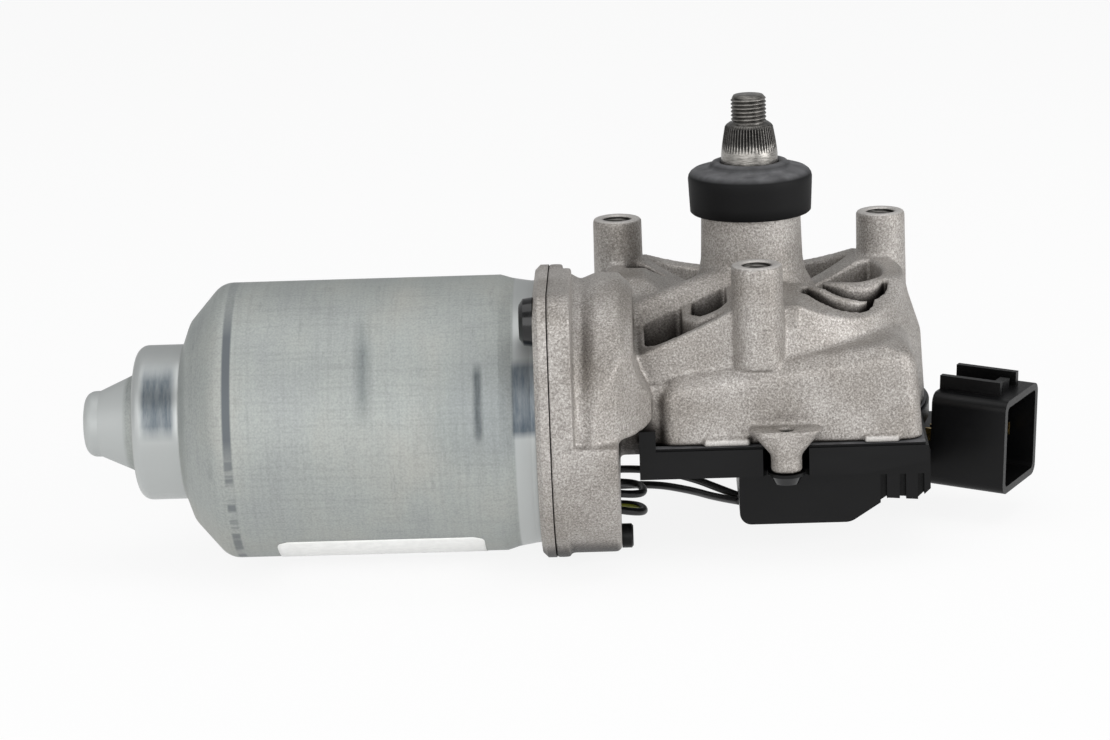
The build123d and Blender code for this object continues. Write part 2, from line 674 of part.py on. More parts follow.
def neck():
    """Bell between the yoke flange and the worm tunnel, cut off below, with a flared front foot."""
    bell = turned_x(
        [(JOINT_X, 0), (JOINT_X, NECK_R), (-40.6, NECK_R), (-38.4, NECK_R - 1.3), (-35.2, NECK_R),
         (NECK_END_X - 3.0, NECK_R), (NECK_END_X, NECK_R - 3.0), (NECK_END_X, 0)])
    flare = extrude(Plane.XZ.offset(30) * outline(
        [(-34.0, SKIRT_Z), (-25.4, SKIRT_Z + 0.6), (-23.6, SKIRT_Z + 1.8), (-23.6, -27.0),
         (-26.0, -22.4), (NECK_END_X, -18.0), (-34.0, -18.0)], {2: 1.2, 3: 3.0, 4: 4.0}), 30)
    front = outline([(JOINT_X, AXIS_Y - NECK_R - 1), (-38.0, AXIS_Y - NECK_R - 1), (-31.0, -54.0),
                     (-26.0, -47.5), (-22.0, -41.0), (-20.0, -36.0), (-20.0, 8), (JOINT_X, 8)],
                    {2: 14.0, 3: 8.0, 4: 2.0})
    front = extrude(Pos(0, 0, -70) * front, 75)
    drum = rod_x(NECK_R, JOINT_X, 0)
    below = block(CUP_END_X, 40, AXIS_Y - 45, AXIS_Y + 45, -90, SKIRT_Z)
    return (bell & front) + (flare & front & drum) - below


def brush_cup():
    """Round lower box behind the yoke flange, cut flat underneath."""
    drum = turned_x([(JOINT_X, 0), (JOINT_X, CUP_R), (CUP_END_X - 0.8, CUP_R),
                     (CUP_END_X, CUP_R - 0.8), (CUP_END_X, 0)])
    return drum & block(JOINT_X, CUP_END_X, AXIS_Y - 45, AXIS_Y + 45, FOOT_Z, SKIRT_Z)


def front_boss():
    """Screw boss hanging from the front wall under a funnel-shaped gusset."""
    x, y = FRONT_BOSS
    column = rod_z(3.4, BOSS_FOOT_Z, SPLIT_Z + 2, x, y)
    funnel = loft([Pos(x, y + 0.6, -35.0) * RectangleRounded(16.2, 7.6, 3.4),
                   Pos(x, y, -40.4) * Circle(3.5)])
    web = block(x - 3.4, x + 3.4, y, FRONT_Y + 3, SPLIT_Z, SPLIT_Z + 2)
    return column + funnel + web


def cover_ears(z_low, z_high):
    """Screw ears round the back, each with a web to the round wall."""
    ears = []
    for angle in EAR_ANGLES:
        x, y = polar(EAR_PITCH_R, angle)
        web = block(CASE_FOOT_R - 2.5, EAR_PITCH_R, -EAR_R, EAR_R, z_low, z_high)
        ears.append(rod_z(EAR_R, z_low, z_high, x, y) + Rot(0, 0, angle) * web)
    return ears


def cover_screw_places():
    return [FRONT_BOSS] + [polar(EAR_PITCH_R, angle) for angle in EAR_ANGLES]


def case_hollows():
    """Gear chamber, worm tunnel, bearing seats, brush cavity and lightening pockets."""
    chamber = rod_z(CHAMBER_R, SPLIT_Z - 6, CEILING_Z)
    worm_bore = rod_x(TUNNEL_R, BEARING_X + BEARING_WIDTH, FRONT_BUSH_X)
    bearing_bore = rod_x(BEARING_R, BEARING_X, BEARING_X + BEARING_WIDTH)
    retainer_seat = rod_x(RETAINER_R + SEAT, CAVITY_END_X - 1, BEARING_X)
    bush_bore = rod_x(FRONT_BUSH_R, FRONT_BUSH_X - 1,
                      FRONT_BUSH_X + FRONT_BUSH_LENGTH + 2 * FREE + THRUST_PAD)
    plate_seat = rod_x(PLATE_R + SEAT, JOINT_X - 1, PLATE_X + PLATE_THICK)
    brush_space = rod_x(CUP_CAVITY_R, JOINT_X - 1, CAVITY_END_X)
    tower_bore = rod_z(TOWER_BUSH_R, CEILING_Z - 1, TOWER_TOP_Z + 1)
    hollows = [chamber, worm_bore, bearing_bore, retainer_seat, bush_bore, plate_seat,
               brush_space, tower_bore]
    outer, inner = CASE_FOOT_R - 4.0, CHAMBER_R + 3.0
    for start, end in ((-22, 20), (46, 80), (104, 136)):
        middle = (start + end) / 2
        face = arc_face(polar(inner, start), polar(inner, middle), polar(inner, end),
                        polar(outer, end), polar(outer, middle), polar(outer, start))
        hollows.append(extrude(Pos(0, 0, SPLIT_Z - 1) * face, CEILING_Z - SPLIT_Z + 1))
    return hollows


def case_holes():
    """Tapped post bores, bolt holes, screw holes and the small cored hole above the front boss."""
    holes = []
    for x, y in post_places():
        bore = turned_z([(0, 1), (POST_MOUTH_R + 1, 1), (POST_MOUTH_R, 0),
                         (POST_BORE_R, -(POST_MOUTH_R - POST_BORE_R)), (POST_BORE_R, -POST_DEPTH),
                         (0, -POST_DEPTH - 1.2)])
        holes.append(Pos(x, y, 0) * bore)
    holes.append(bolt_holes(BOLT_R + SEAT, JOINT_X - 1, JOINT_X + BOLT_DEPTH + FREE))
    for x, y in cover_screw_places():
        holes.append(rod_z(SCREW_R + SEAT, BOSS_FOOT_Z - 2, SPLIT_Z + 8, x, y))
    holes.append(rod_z(0.8, -37.0, -33.0, FRONT_BOSS[0], FRONT_BOSS[1] + 0.4))
    return holes


def rim_pads():
    """Two raised pads on the lower edge of the front wall."""
    return [block(low, high, FRONT_Y - 1.2, FRONT_Y + 1, SPLIT_Z, SPLIT_Z + 1.8)
            for low, high in ((-12.4, -2.3), (22.5, 30.0))]


def gear_housing():
    body = case_body()
    for cutter in rim_scallops():
        body -= cutter
    body += deck()
    for web in post_webs():
        body += web
    for cutter in top_pockets():
        body -= cutter
    flange = plate_x(flange_face(), JOINT_X, CASE_FLANGE)
    pad_zone = (Pos(-FLANGE_R / 2, FLANGE_R / 2) * Rectangle(FLANGE_R, FLANGE_R)
                + Pos(FLANGE_R / 2, -FLANGE_R / 2) * Rectangle(FLANGE_R, FLANGE_R))
    pads = plate_x(flange_face() & pad_zone, JOINT_X, CASE_PAD)
    body += neck() + brush_cup() + flange + pads + tower() + front_boss()
    for piece in posts() + rim_pads():
        body += piece
    for ear in cover_ears(SPLIT_Z, SPLIT_Z + 8):
        body += ear
    for cutter in case_hollows() + case_holes():
        body -= cutter
    body -= block(LEAD_RECESS_X, CUP_END_X + 1, RECESS_FRONT_Y, 8, FOOT_Z + 1, RECESS_TOP_Z)
    body -= grommet_plug(SEAT)
    body -= vent_plug_shape(SEAT)
    return body.solids().sort_by(SortBy.VOLUME)[-1]


# ================================================================ worm wheel and output shaft

def gear_outline(turn):
    """Involute wheel outline in short chords, turned by an angle in degrees."""
    base_r = WHEEL_PITCH_R * cos(radians(PRESSURE_ANGLE))
    half_tooth = degrees((pi * MODULE / 2 - BACKLASH / 2) / 2 / WHEEL_PITCH_R)

    def flank_angle(radius):
        """Half the tooth's angle at a radius."""
        pressure = acos(base_r / radius)
        at_pitch = radians(PRESSURE_ANGLE)
        gain = (tan(at_pitch) - at_pitch) - (tan(pressure) - pressure)
        return half_tooth + degrees(gain)

    points = []
    for tooth in range(WHEEL_TEETH):
        centre = -90 + turn + tooth * 360 / WHEEL_TEETH
        for radius, side in ((WHEEL_ROOT_R, -1), (WHEEL_PITCH_R, -1), (WHEEL_TIP_R, -1),
                             (WHEEL_TIP_R, 1), (WHEEL_PITCH_R, 1), (WHEEL_ROOT_R, 1)):
            points.append(polar(radius, centre + side * flank_angle(radius)))
    return make_face(Polyline(*points, close=True))


WHEEL_FOOT_Z = AXIS_Z - WHEEL_WIDTH / 2
WHEEL_TOP_Z = AXIS_Z + WHEEL_WIDTH / 2
HUB_R = 11.0
HUB_FLANGE_R = 15.0
DISC_INNER_R = 15.8
DISC_OUTER_R = 20.2
DISC_THICK = 0.4
WEB_FOOT_Z = AXIS_Z - 2.6
WEB_TOP_Z = AXIS_Z + 2.0


def worm_wheel():
    """Moulded helical gear rim on a ribbed web."""
    lead_angle = atan(LEAD / (2 * pi * WORM_PITCH_R))
    lean = degrees(WHEEL_WIDTH / 2 * tan(lead_angle) / WHEEL_PITCH_R)
    rim = loft([Pos(0, 0, WHEEL_FOOT_Z) * gear_outline(-lean),
                Pos(0, 0, WHEEL_TOP_Z) * gear_outline(lean)], ruled=True)
    rim -= rod_z(HUB_R + SEAT, WHEEL_FOOT_Z - 1, WHEEL_TOP_Z + 1)
    rim -= ring_z(HUB_R + 3.0, WHEEL_ROOT_R - 1.6, WEB_TOP_Z, WHEEL_TOP_Z + 1)
    rim -= ring_z(HUB_R + SEAT - 0.1, WHEEL_ROOT_R - 1.2, WHEEL_FOOT_Z - 1, WEB_FOOT_Z)
    for index in range(8):
        rib = block(HUB_R + 2.0, WHEEL_ROOT_R - 1.0, -0.7, 0.7, WEB_TOP_Z - 0.5, WHEEL_TOP_Z - 0.8)
        rim += Rot(0, 0, index * 45) * rib
    return rim


def wheel_hub():
    """Steel hub pressed on the shaft, its flange under the web."""
    foot_z, top_z = WHEEL_FOOT_Z - 0.4, WHEEL_TOP_Z + 0.8
    return turned_z([(SHAFT_R + SEAT, foot_z), (HUB_FLANGE_R, foot_z),
                     (HUB_FLANGE_R, WEB_FOOT_Z - SEAT), (HUB_R, WEB_FOOT_Z - SEAT),
                     (HUB_R, top_z), (SHAFT_R + SEAT, top_z)])


def park_disc():
    """Brass park-switch track under the web, with the park gap in it."""
    ring = Circle(DISC_OUTER_R) - Circle(DISC_INNER_R)
    middle_r = (DISC_INNER_R + DISC_OUTER_R) / 2
    gap = Rot(0, 0, 200) * Pos(middle_r + 1.2, 0) * Rectangle(2.6, 7.0)
    return extrude(Pos(0, 0, WEB_FOOT_Z - DISC_THICK) * (ring - gap), DISC_THICK)


CIRCLIP_Z = TOWER_TOP_Z + WASHER_THICK + 0.35


def output_shaft():
    groove_r = SHAFT_R - GROOVE_DEPTH
    clip_top = CIRCLIP_Z + CIRCLIP_THICK + 0.1
    return turned_z(
        [(0, SHAFT_FOOT_Z), (SHAFT_R - 1.0, SHAFT_FOOT_Z), (SHAFT_R, SHAFT_FOOT_Z + 1.0),
         (SHAFT_R, CIRCLIP_Z - 0.1), (groove_r, CIRCLIP_Z - 0.1), (groove_r, clip_top),
         (SHAFT_R, clip_top), (SHAFT_R, TAPER_FOOT_Z), (TAPER_TOP_R, TAPER_TOP_Z - 1.0),
         (TAPER_TOP_R - 1.1, TAPER_TOP_Z), (STUD_R, TAPER_TOP_Z), (STUD_R, STUD_TOP_Z - 0.6),
         (STUD_R - 0.6, STUD_TOP_Z), (0, STUD_TOP_Z)])


def upper_bush():
    return ring_z(SHAFT_R + RUN, TOWER_BUSH_R - SEAT, TOWER_TOP_Z - 1.0 - UPPER_BUSH_LENGTH,
                  TOWER_TOP_Z - 1.0)


def lower_bush():
    return ring_z(SHAFT_R + RUN, TOWER_BUSH_R - SEAT, CEILING_Z, CEILING_Z + LOWER_BUSH_LENGTH)


def wheel_washer():
    """Plain washer between the wheel hub and the chamber ceiling."""
    top_z = CEILING_Z - SEAT
    return ring_z(SHAFT_R + 0.1, HUB_R, top_z - WASHER_THICK, top_z)


def tower_washer():
    return ring_z(SHAFT_R + 0.1, TOWER_R - 1.2, TOWER_TOP_Z, TOWER_TOP_Z + WASHER_THICK)


def shaft_circlip():
    inner, outer = SHAFT_R - GROOVE_DEPTH + SEAT, SHAFT_R + 1.9
    ring = Circle(outer) - Circle(inner) - Pos(-outer, 0) * Rectangle(outer, 4.0)
    return extrude(Pos(0, 0, CIRCLIP_Z) * ring, CIRCLIP_THICK)


def shaft_cap():
    """Rubber cap over the top of the tower, with a raised lip round the shaft."""
    bore_r = TOWER_R + 0.02
    roof_z = CIRCLIP_Z + CIRCLIP_THICK + FREE
    return turned_z(
        [(bore_r, CAP_FOOT_Z), (CAP_R - 0.4, CAP_FOOT_Z), (CAP_R, CAP_TOP_Z - 1.4),
         (CAP_R - 1.2, CAP_TOP_Z), (8.9, CAP_TOP_Z + 0.3), (8.4, CAP_LIP_Z - 0.5),
         (SHAFT_R + 0.7, CAP_LIP_Z), (SHAFT_R + 0.1, CAP_LIP_Z - 0.4),
         (SHAFT_R + 0.1, roof_z), (bore_r, roof_z)])


# ================================================================ cover, terminal box, connector

def cover_plan(inset=0.0):
    """Plan of the cover: straight front and left sides, round to the right and behind."""
    round_part = Circle(COVER_R - inset)
    keep = Pos((COVER_LEFT_X + inset + 50) / 2, (COVER_FRONT_Y + inset + 50) / 2) * Rectangle(
        50 - COVER_LEFT_X - inset, 50 - COVER_FRONT_Y - inset)
    front = outline([(COVER_LEFT_X + inset, COVER_FRONT_Y + inset),
                     (COVER_RIGHT_X - inset, COVER_FRONT_Y + inset),
                     (COVER_RIGHT_X + 0.6 - inset, -15), (COVER_LEFT_X + inset, -15)])
    return (round_part & keep) + front


def rise_z(x):
    """Height of the cover's underside where it rises towards the right end."""
    return COVER_FLOOR_Z + (x - COVER_RISE_X) * COVER_RISE


def below_rise(lift):
    """Everything under the rising underside, raised by a thickness."""
    wedge = outline([(COVER_RISE_X, COVER_FLOOR_Z + lift), (46.0, rise_z(46.0) + lift),
                     (46.0, COVER_FLOOR_Z - 3), (COVER_RISE_X, COVER_FLOOR_Z - 3)])
    return extrude(Plane.XZ.offset(-60) * wedge, 120)


def clip_tongue():
    """Tongue of the cover that stands up in front of the casting, at its left end."""
    return block(COVER_LEFT_X, COVER_LEFT_X + 3.6, COVER_FRONT_Y, FRONT_Y - FREE,
                 SPLIT_Z - GASKET - 1, CLIP_TOP_Z)


def cover_gasket():
    round_boss = Pos(*FRONT_BOSS) * Circle(BOSS_CLEAR_R + 1.6)
    ring = cover_plan(0.6) - (cover_plan(3.0) - round_boss)
    sheet = extrude(Pos(0, 0, SPLIT_Z - GASKET) * ring, GASKET)
    sheet -= rod_z(BOSS_CLEAR_R, SPLIT_Z - 2, SPLIT_Z + 1, *FRONT_BOSS)
    sheet -= clip_tongue()
    return sheet - rod_x(TUNNEL_OUTER_R + FREE, -35, -20)


def gear_cover():
    """Moulded cover: skirt, floor, screw ears, thrust button, clip and front recess."""
    top_z = SPLIT_Z - GASKET
    height = top_z - COVER_FLOOR_Z
    body = extrude(Pos(0, 0, COVER_FLOOR_Z) * cover_plan(), height)
    body -= (extrude(Pos(0, 0, COVER_FLOOR_Z + COVER_WALL) * cover_plan(COVER_WALL), height)
             - below_rise(COVER_WALL))
    body -= below_rise(0)
    x, y = FRONT_BOSS
    recess = rod_z(BOSS_CLEAR_R + COVER_WALL, COVER_FLOOR_Z, top_z, x, y)
    body += recess & extrude(Pos(0, 0, COVER_FLOOR_Z) * cover_plan(), height)
    body -= rod_z(BOSS_CLEAR_R, COVER_FLOOR_Z - 1, top_z + 1, x, y)
    body += rod_z(4.0, BOSS_FOOT_Z - FRONT_EAR, BOSS_FOOT_Z, x, y)
    body += block(x - 4.0, x + 4.0, y, y + 7.5, BOSS_FOOT_Z - FRONT_EAR, BOSS_FOOT_Z)
    for ear in cover_ears(top_z - EAR_THICK, top_z):
        body += ear
    body -= rod_x(TUNNEL_OUTER_R + FREE, -35, -20)
    for hole_x, hole_y in cover_screw_places():
        body -= rod_z(SCREW_R + 0.2, COVER_FLOOR_Z - 1, SPLIT_Z + 1, hole_x, hole_y)
    button_top = SHAFT_FOOT_Z - FREE
    body += rod_z(4.0, COVER_FLOOR_Z, button_top)
    return body + clip_tongue()


def cover_screws():
    screws = []
    for index, (x, y) in enumerate(cover_screw_places()):
        seat_z = BOSS_FOOT_Z - FRONT_EAR if index == 0 else SPLIT_Z - GASKET - EAR_THICK
        head_z = seat_z - SCREW_HEAD
        profile = [(0, head_z), (SCREW_HEAD_R - 1.0, head_z), (SCREW_HEAD_R, seat_z),
                   (SCREW_R, seat_z), (SCREW_R, seat_z + 8.5), (0, seat_z + 8.5)]
        screws.append(Pos(x, y, 0) * turned_z(profile))
    return screws


BOX_FOOT_END_X = 19.6
BOX_STEP_X = 27.8
BOX_STEP_Z = -53.9
BOX_TIP_X = 34.6
BOX_TIP_Z = -54.4
BOX_END_X = 37.2
BOX_END_Z = -52.0


def terminal_box():
    """Switch and terminal box below the cover, its right end swept up in steps."""
    side = outline([(BOX_LEFT_X, COVER_FLOOR_Z), (BOX_LEFT_X, BOX_FOOT_Z), (BOX_FOOT_END_X, BOX_FOOT_Z),
                    (BOX_STEP_X, BOX_STEP_Z), (BOX_TIP_X, BOX_TIP_Z), (BOX_END_X, BOX_END_Z),
                    (BOX_END_X, rise_z(BOX_END_X)),
                    (COVER_RISE_X, COVER_FLOOR_Z)], {1: 2.6, 2: 4.0})
    depth = BOX_BACK_Y - BOX_FRONT_Y
    body = extrude(Plane.XZ.offset(-BOX_BACK_Y) * side, depth)
    inside = outline([(BOX_LEFT_X + 1.6, COVER_FLOOR_Z + 1), (BOX_LEFT_X + 1.6, BOX_FOOT_Z + 1.6),
                      (19.0, BOX_FOOT_Z + 1.6), (24.0, -54.5), (24.0, COVER_FLOOR_Z + 1)])
    body -= extrude(Plane.XZ.offset(-BOX_BACK_Y + 1.6) * inside, depth - 3.2)
    for x in (26.2, 30.4, 34.4):
        body -= block(x, x + 1.4, BOX_FRONT_Y - 1, BOX_FRONT_Y + 2.0, -56.0, -48.5)
    return body - block(BOX_LEFT_X - 1, BOX_LEFT_X + 2, LEAD_ENTRY_Y - 4.0, LEAD_ENTRY_Y + 4.0,
                        LEAD_ENTRY_Z - 1.4, LEAD_ENTRY_Z + 1.4)


def contact_fingers():
    """Three sprung park-switch fingers standing on the cover floor under the track."""
    fingers = []
    floor = COVER_FLOOR_Z + COVER_WALL
    tip_z = WEB_FOOT_Z - DISC_THICK - FREE
    for radius in (DISC_INNER_R + 0.7, (DISC_INNER_R + DISC_OUTER_R) / 2, DISC_OUTER_R - 0.7):
        side = outline([(-9.0, floor), (-1.0, floor), (-1.0, floor + 0.5), (-7.6, floor + 0.5),
                        (1.1, tip_z - 0.9), (1.6, tip_z - 0.55), (2.6, tip_z - 1.0),
                        (2.8, tip_z - 0.55), (1.6, tip_z), (0.7, tip_z - 0.5), (-8.4, floor + 0.6)])
        strip = extrude(Plane.XZ * side, 1.0)
        fingers.append(Pos(-1.6, radius + 0.5, 0) * strip)
    return fingers


def socket_frame():
    """Plane at the centre of the connector's mouth: X across, Y up, Z out of the socket."""
    turn, droop = radians(SOCKET_TURN), radians(SOCKET_DROOP)
    out = Vector(cos(turn) * cos(droop), -sin(turn) * cos(droop), -sin(droop))
    return Plane(origin=SOCKET_FACE, x_dir=(sin(turn), cos(turn), 0), z_dir=out)


def connector_housing():
    """Hooded socket with guide rails on top and a latch lug between them, on a root below the cover."""
    frame = socket_frame()
    shell = extrude(Pos(0, 0, -SOCKET_LENGTH) * RectangleRounded(SOCKET_WIDTH, SOCKET_HEIGHT, 2.4),
                    SOCKET_LENGTH)
    top = SOCKET_HEIGHT / 2
    for x in (-5.2, 5.2):
        shell += Pos(x, top + 1.4, -SOCKET_LENGTH / 2 - 1.6) * Box(1.6, 3.4, SOCKET_LENGTH - 3.2)
    shell += Pos(0, top + 1.0, -5.0) * Box(4.2, 2.4, 2.2)
    body = frame * shell + block(29.0, 45.0, -6.4, 8.6, -54.0, COVER_FLOOR_Z)
    mouth = RectangleRounded(SOCKET_WIDTH - 2 * SOCKET_WALL, SOCKET_HEIGHT - 2 * SOCKET_WALL, 1.2)
    body -= frame * extrude(Pos(0, 0, -SOCKET_DEPTH) * mouth, SOCKET_DEPTH + 1)
    for hole in blades(SEAT):
        body -= hole
    return body


def blades(clearance=0.0):
    """Flat blades through the back wall of the socket."""
    frame = socket_frame()
    low, high = -SOCKET_LENGTH - 3.0, -SOCKET_DEPTH + 9.0
    places = [(index - (BLADE_COUNT - 1) / 2) * 3.2 for index in range(BLADE_COUNT)]
    return [frame * Pos(x, 0, (low + high) / 2) * Box(0.8 + 2 * clearance, 2.8 + 2 * clearance, high - low)
            for x in places]


# ================================================================ leads

LEAD_BLACK = [(-41.0, -20.4, -53.6), (-26.0, -20.4, -56.6), (-26.0, -8.6, -56.2),
              (-37.4, -8.6, -55.8), (-37.4, 3.2, -56.2), (-24.0, 3.2, -56.4),
              (-14.5, -4.4, -56.8), (-8.5, -13.0, -57.0), (-4.2, -19.4, -57.0)]
LEAD_STRIPED = [(-41.0, -20.4, -57.0), (-26.0, -20.4, -60.6), (-26.0, -8.6, -61.4),
                (-37.4, -8.6, -60.8), (-37.4, 3.2, -60.4), (-24.0, 3.2, -60.0),
                (-15.2, -5.0, -59.4), (-9.4, -15.0, -58.4), (-4.2, -22.2, -57.3)]
LEAD_RECESS_X = -38.7
RECESS_FRONT_Y = -30.0
RECESS_TOP_Z = -50.4
LEAD_ENTRY_Y = -20.6
LEAD_ENTRY_Z = -57.0


def lead(points, radius=LEAD_R):
    """A round lead along straight runs joined by arcs as large as the runs allow."""
    radii = []
    for before, here, after in zip(points, points[1:], points[2:]):
        arriving, leaving = Vector(*here) - Vector(*before), Vector(*after) - Vector(*here)
        half_turn = radians(arriving.get_angle(leaving)) / 2
        radii.append(0.45 * min(arriving.length, leaving.length) / tan(half_turn))
    path = FilletPolyline(*points, radius=radii)
    if radius == LEAD_R:
        print("lead radii", [round(bend, 1) for bend in radii], "length", round(path.length, 1))
    start = Plane(origin=path @ 0, z_dir=path % 0)
    return sweep(start * Circle(radius), path=path)


def grommet_plug(clearance=0.0):
    """The part of the grommet that fills the opening in the brush cup's end wall."""
    x, y, z = LEAD_RECESS_X, LEAD_BLACK[0][1], -55.6
    return block(CAVITY_END_X - 2 * clearance, x, y - 2.4 - clearance, y + 2.4 + clearance,
                 z - 3.6 - clearance, z + 3.6 + clearance)


def lead_grommet():
    """Rubber grommet with a flange outside the wall and a hole for each lead."""
    x, y, z = LEAD_RECESS_X, LEAD_BLACK[0][1], -55.6
    flange = block(x, x + 1.4, y - 3.4, y + 3.4, z - 4.6, z + 4.6)
    return grommet_plug() + flange - lead(LEAD_BLACK, LEAD_R + SEAT) - lead(LEAD_STRIPED, LEAD_R + SEAT)


VENT_PLUG_PLACE = (-33.0, -61.2)


def vent_plug_shape(clearance=0.0):
    """Black plug low on the end face of the brush cup."""
    head_x, shank_r = CUP_END_X, 1.8 + clearance
    profile = outline([(head_x - 3 - clearance, 0), (head_x - 3 - clearance, shank_r), (head_x, shank_r),
                       (head_x, 2.7), (head_x + 2.1, 2.7), (head_x + 2.5, 2.2), (head_x + 2.5, 0)])
    return Pos(0, *VENT_PLUG_PLACE) * revolve(profile, Axis.X)


save("yoke_case", yoke_case())
save("field_magnets", *field_magnets())
save("magnet_clips", *magnet_clips())
save("yoke_bolts", *yoke_bolts())
save("rear_bush", rear_bush())
save("rear_thrust_pad", rear_thrust_pad())
save("armature_shaft", armature_shaft())
save("armature_core", armature_core())
save("armature_windings", armature_windings())
save("commutator", *commutator())
save("commutator_core", commutator_core())
save("middle_bush", middle_bush())
save("bush_retainer", bush_retainer())
save("front_bush", front_bush())
save("front_thrust_pad", front_thrust_pad())
save("brush_holder_plate", brush_holder_plate())
save("brush_boxes", *brush_boxes())
save("carbon_brushes", *carbon_brushes())
save("brush_springs", *brush_springs())
save("choke_coils", *choke_coils())
save("gear_housing", gear_housing())
save("worm_wheel", worm_wheel())
save("wheel_hub", wheel_hub())
save("park_disc", park_disc())
save("output_shaft", output_shaft())
save("upper_bush", upper_bush())
save("lower_bush", lower_bush())
save("wheel_washer", wheel_washer())
save("tower_washer", tower_washer())
save("shaft_circlip", shaft_circlip())
save("shaft_cap", shaft_cap())
save("cover_gasket", cover_gasket())
save("gear_cover", gear_cover())
save("cover_screws", *cover_screws())
save("terminal_box", terminal_box())
save("contact_fingers", *contact_fingers())
save("connector_housing", connector_housing())
save("connector_blades", *blades())
save("lead_black", lead(LEAD_BLACK))
save("lead_striped", lead(LEAD_STRIPED))
save("lead_grommet", lead_grommet())
save("vent_plug", vent_plug_shape())
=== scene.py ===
"""Front wiper motor, dressed over its CAD frame.

Adds the cast fillets, threads, serrations, leads, bare label, finishes and studio.
"""
import json
import math

import bmesh
import bpy
from mathutils import Matrix, Vector


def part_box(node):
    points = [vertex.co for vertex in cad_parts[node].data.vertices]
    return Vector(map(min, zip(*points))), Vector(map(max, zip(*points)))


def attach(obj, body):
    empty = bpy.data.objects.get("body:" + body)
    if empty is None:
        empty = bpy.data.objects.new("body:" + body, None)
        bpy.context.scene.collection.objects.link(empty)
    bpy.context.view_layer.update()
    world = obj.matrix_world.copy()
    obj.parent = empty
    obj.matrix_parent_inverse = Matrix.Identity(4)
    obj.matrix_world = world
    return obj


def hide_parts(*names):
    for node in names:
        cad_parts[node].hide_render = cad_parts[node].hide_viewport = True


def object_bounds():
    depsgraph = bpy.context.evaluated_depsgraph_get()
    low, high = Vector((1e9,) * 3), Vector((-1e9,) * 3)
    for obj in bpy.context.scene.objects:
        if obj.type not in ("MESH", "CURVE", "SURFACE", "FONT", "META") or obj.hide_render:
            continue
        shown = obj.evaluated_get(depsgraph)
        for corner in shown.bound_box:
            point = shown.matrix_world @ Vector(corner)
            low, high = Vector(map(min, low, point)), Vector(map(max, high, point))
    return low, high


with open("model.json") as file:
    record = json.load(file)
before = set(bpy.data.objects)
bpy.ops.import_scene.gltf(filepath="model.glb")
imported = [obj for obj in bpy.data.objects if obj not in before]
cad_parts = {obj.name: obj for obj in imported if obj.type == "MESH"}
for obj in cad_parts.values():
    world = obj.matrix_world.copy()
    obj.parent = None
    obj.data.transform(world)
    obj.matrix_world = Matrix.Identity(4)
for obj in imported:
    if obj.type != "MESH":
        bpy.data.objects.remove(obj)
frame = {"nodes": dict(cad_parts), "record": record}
nodes = frame["nodes"]
cad_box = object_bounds()
MM = 0.001
scene = bpy.context.scene


# ---------------------------------------------------------------- sizes, in mm

def box_mm(node):
    """Lowest and highest corners of a node at rest."""
    return [[c / MM for c in corner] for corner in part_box(node)]


# the motor's axis runs along X through the middle of the armature shaft
armature_low, armature_high = box_mm("armature_shaft")
MOTOR_Y, MOTOR_Z = ((armature_low[i] + armature_high[i]) / 2 for i in (1, 2))

# the three mounting posts stand round the output shaft, drilled from above
POST_COUNT, POST_CIRCLE_R = 3, 35.0
POST_BORE_R, POST_MOUTH_R, POST_BORE_DEPTH = 3.2, 3.8, 7.6
# the milled top of a post: how far out and how far down it is bright
MILLED_R, MILLED_DEPTH = 5.2, 0.3
# cored hole in the top of the front screw boss
BOSS_HOLE_MIDDLE, BOSS_HOLE_R = (5.3, -43.4, -37.4), 1.5
BOSS_HOLE_TOP, BOSS_HOLE_FLOOR = -30.0, -41.5
# two pads on the front of the housing's rim, where the casting flash was broken off
FLASH_PADS_X, FLASH_RIM_Z, FLASH_FRONT_Y = ((-12.2, -2.5), (22.7, 29.8)), (-39.3, -37.9), -33.0

# bands along the motor can, from its nose to its flange
CAN_R = 30.4
NOSE_END_X, DRUM_BAND_X, PAINTED_REFLECTION_RING_X = -138.5, (-136.5, -126.2), (-115.0, -113.2)
RELIEF_BAND_X, FLANGE_BACK_X = (-52.8, -48.4), -48.3
# heights between which the painted dark reflection ring goes from dashes to whole, and then from whole to
# faint
RING_DASHED_Z, RING_FAINT_Z = (-40.0, -30.0), (-10.0, -4.0)

# heights and radii of the output shaft
shaft_low, shaft_high = box_mm("output_shaft")
SHAFT_FOOT, SHAFT_R, STUD_TOP = shaft_low[2], shaft_high[0], shaft_high[2]
TAPER_FOOT, TAPER_TOP, TAPER_END_R, STUD_R = 17.4, 24.7, 5.4, 4.0


def post_place(index):
    """Axis of one of the mounting posts."""
    angle = math.radians(-90 + 360 / POST_COUNT * index)
    return POST_CIRCLE_R * math.cos(angle), POST_CIRCLE_R * math.sin(angle)


# ---------------------------------------------------------------- camera

CAMERA_AT = Vector((-22.7, -773.7, 166.6)) * MM
CAMERA_PITCH = math.radians(14.35)
CAMERA_YAW = math.radians(1.68)
CAMERA_ROLL = math.radians(2.09)
LENS_MM, SENSOR_MM = 113.5, 36


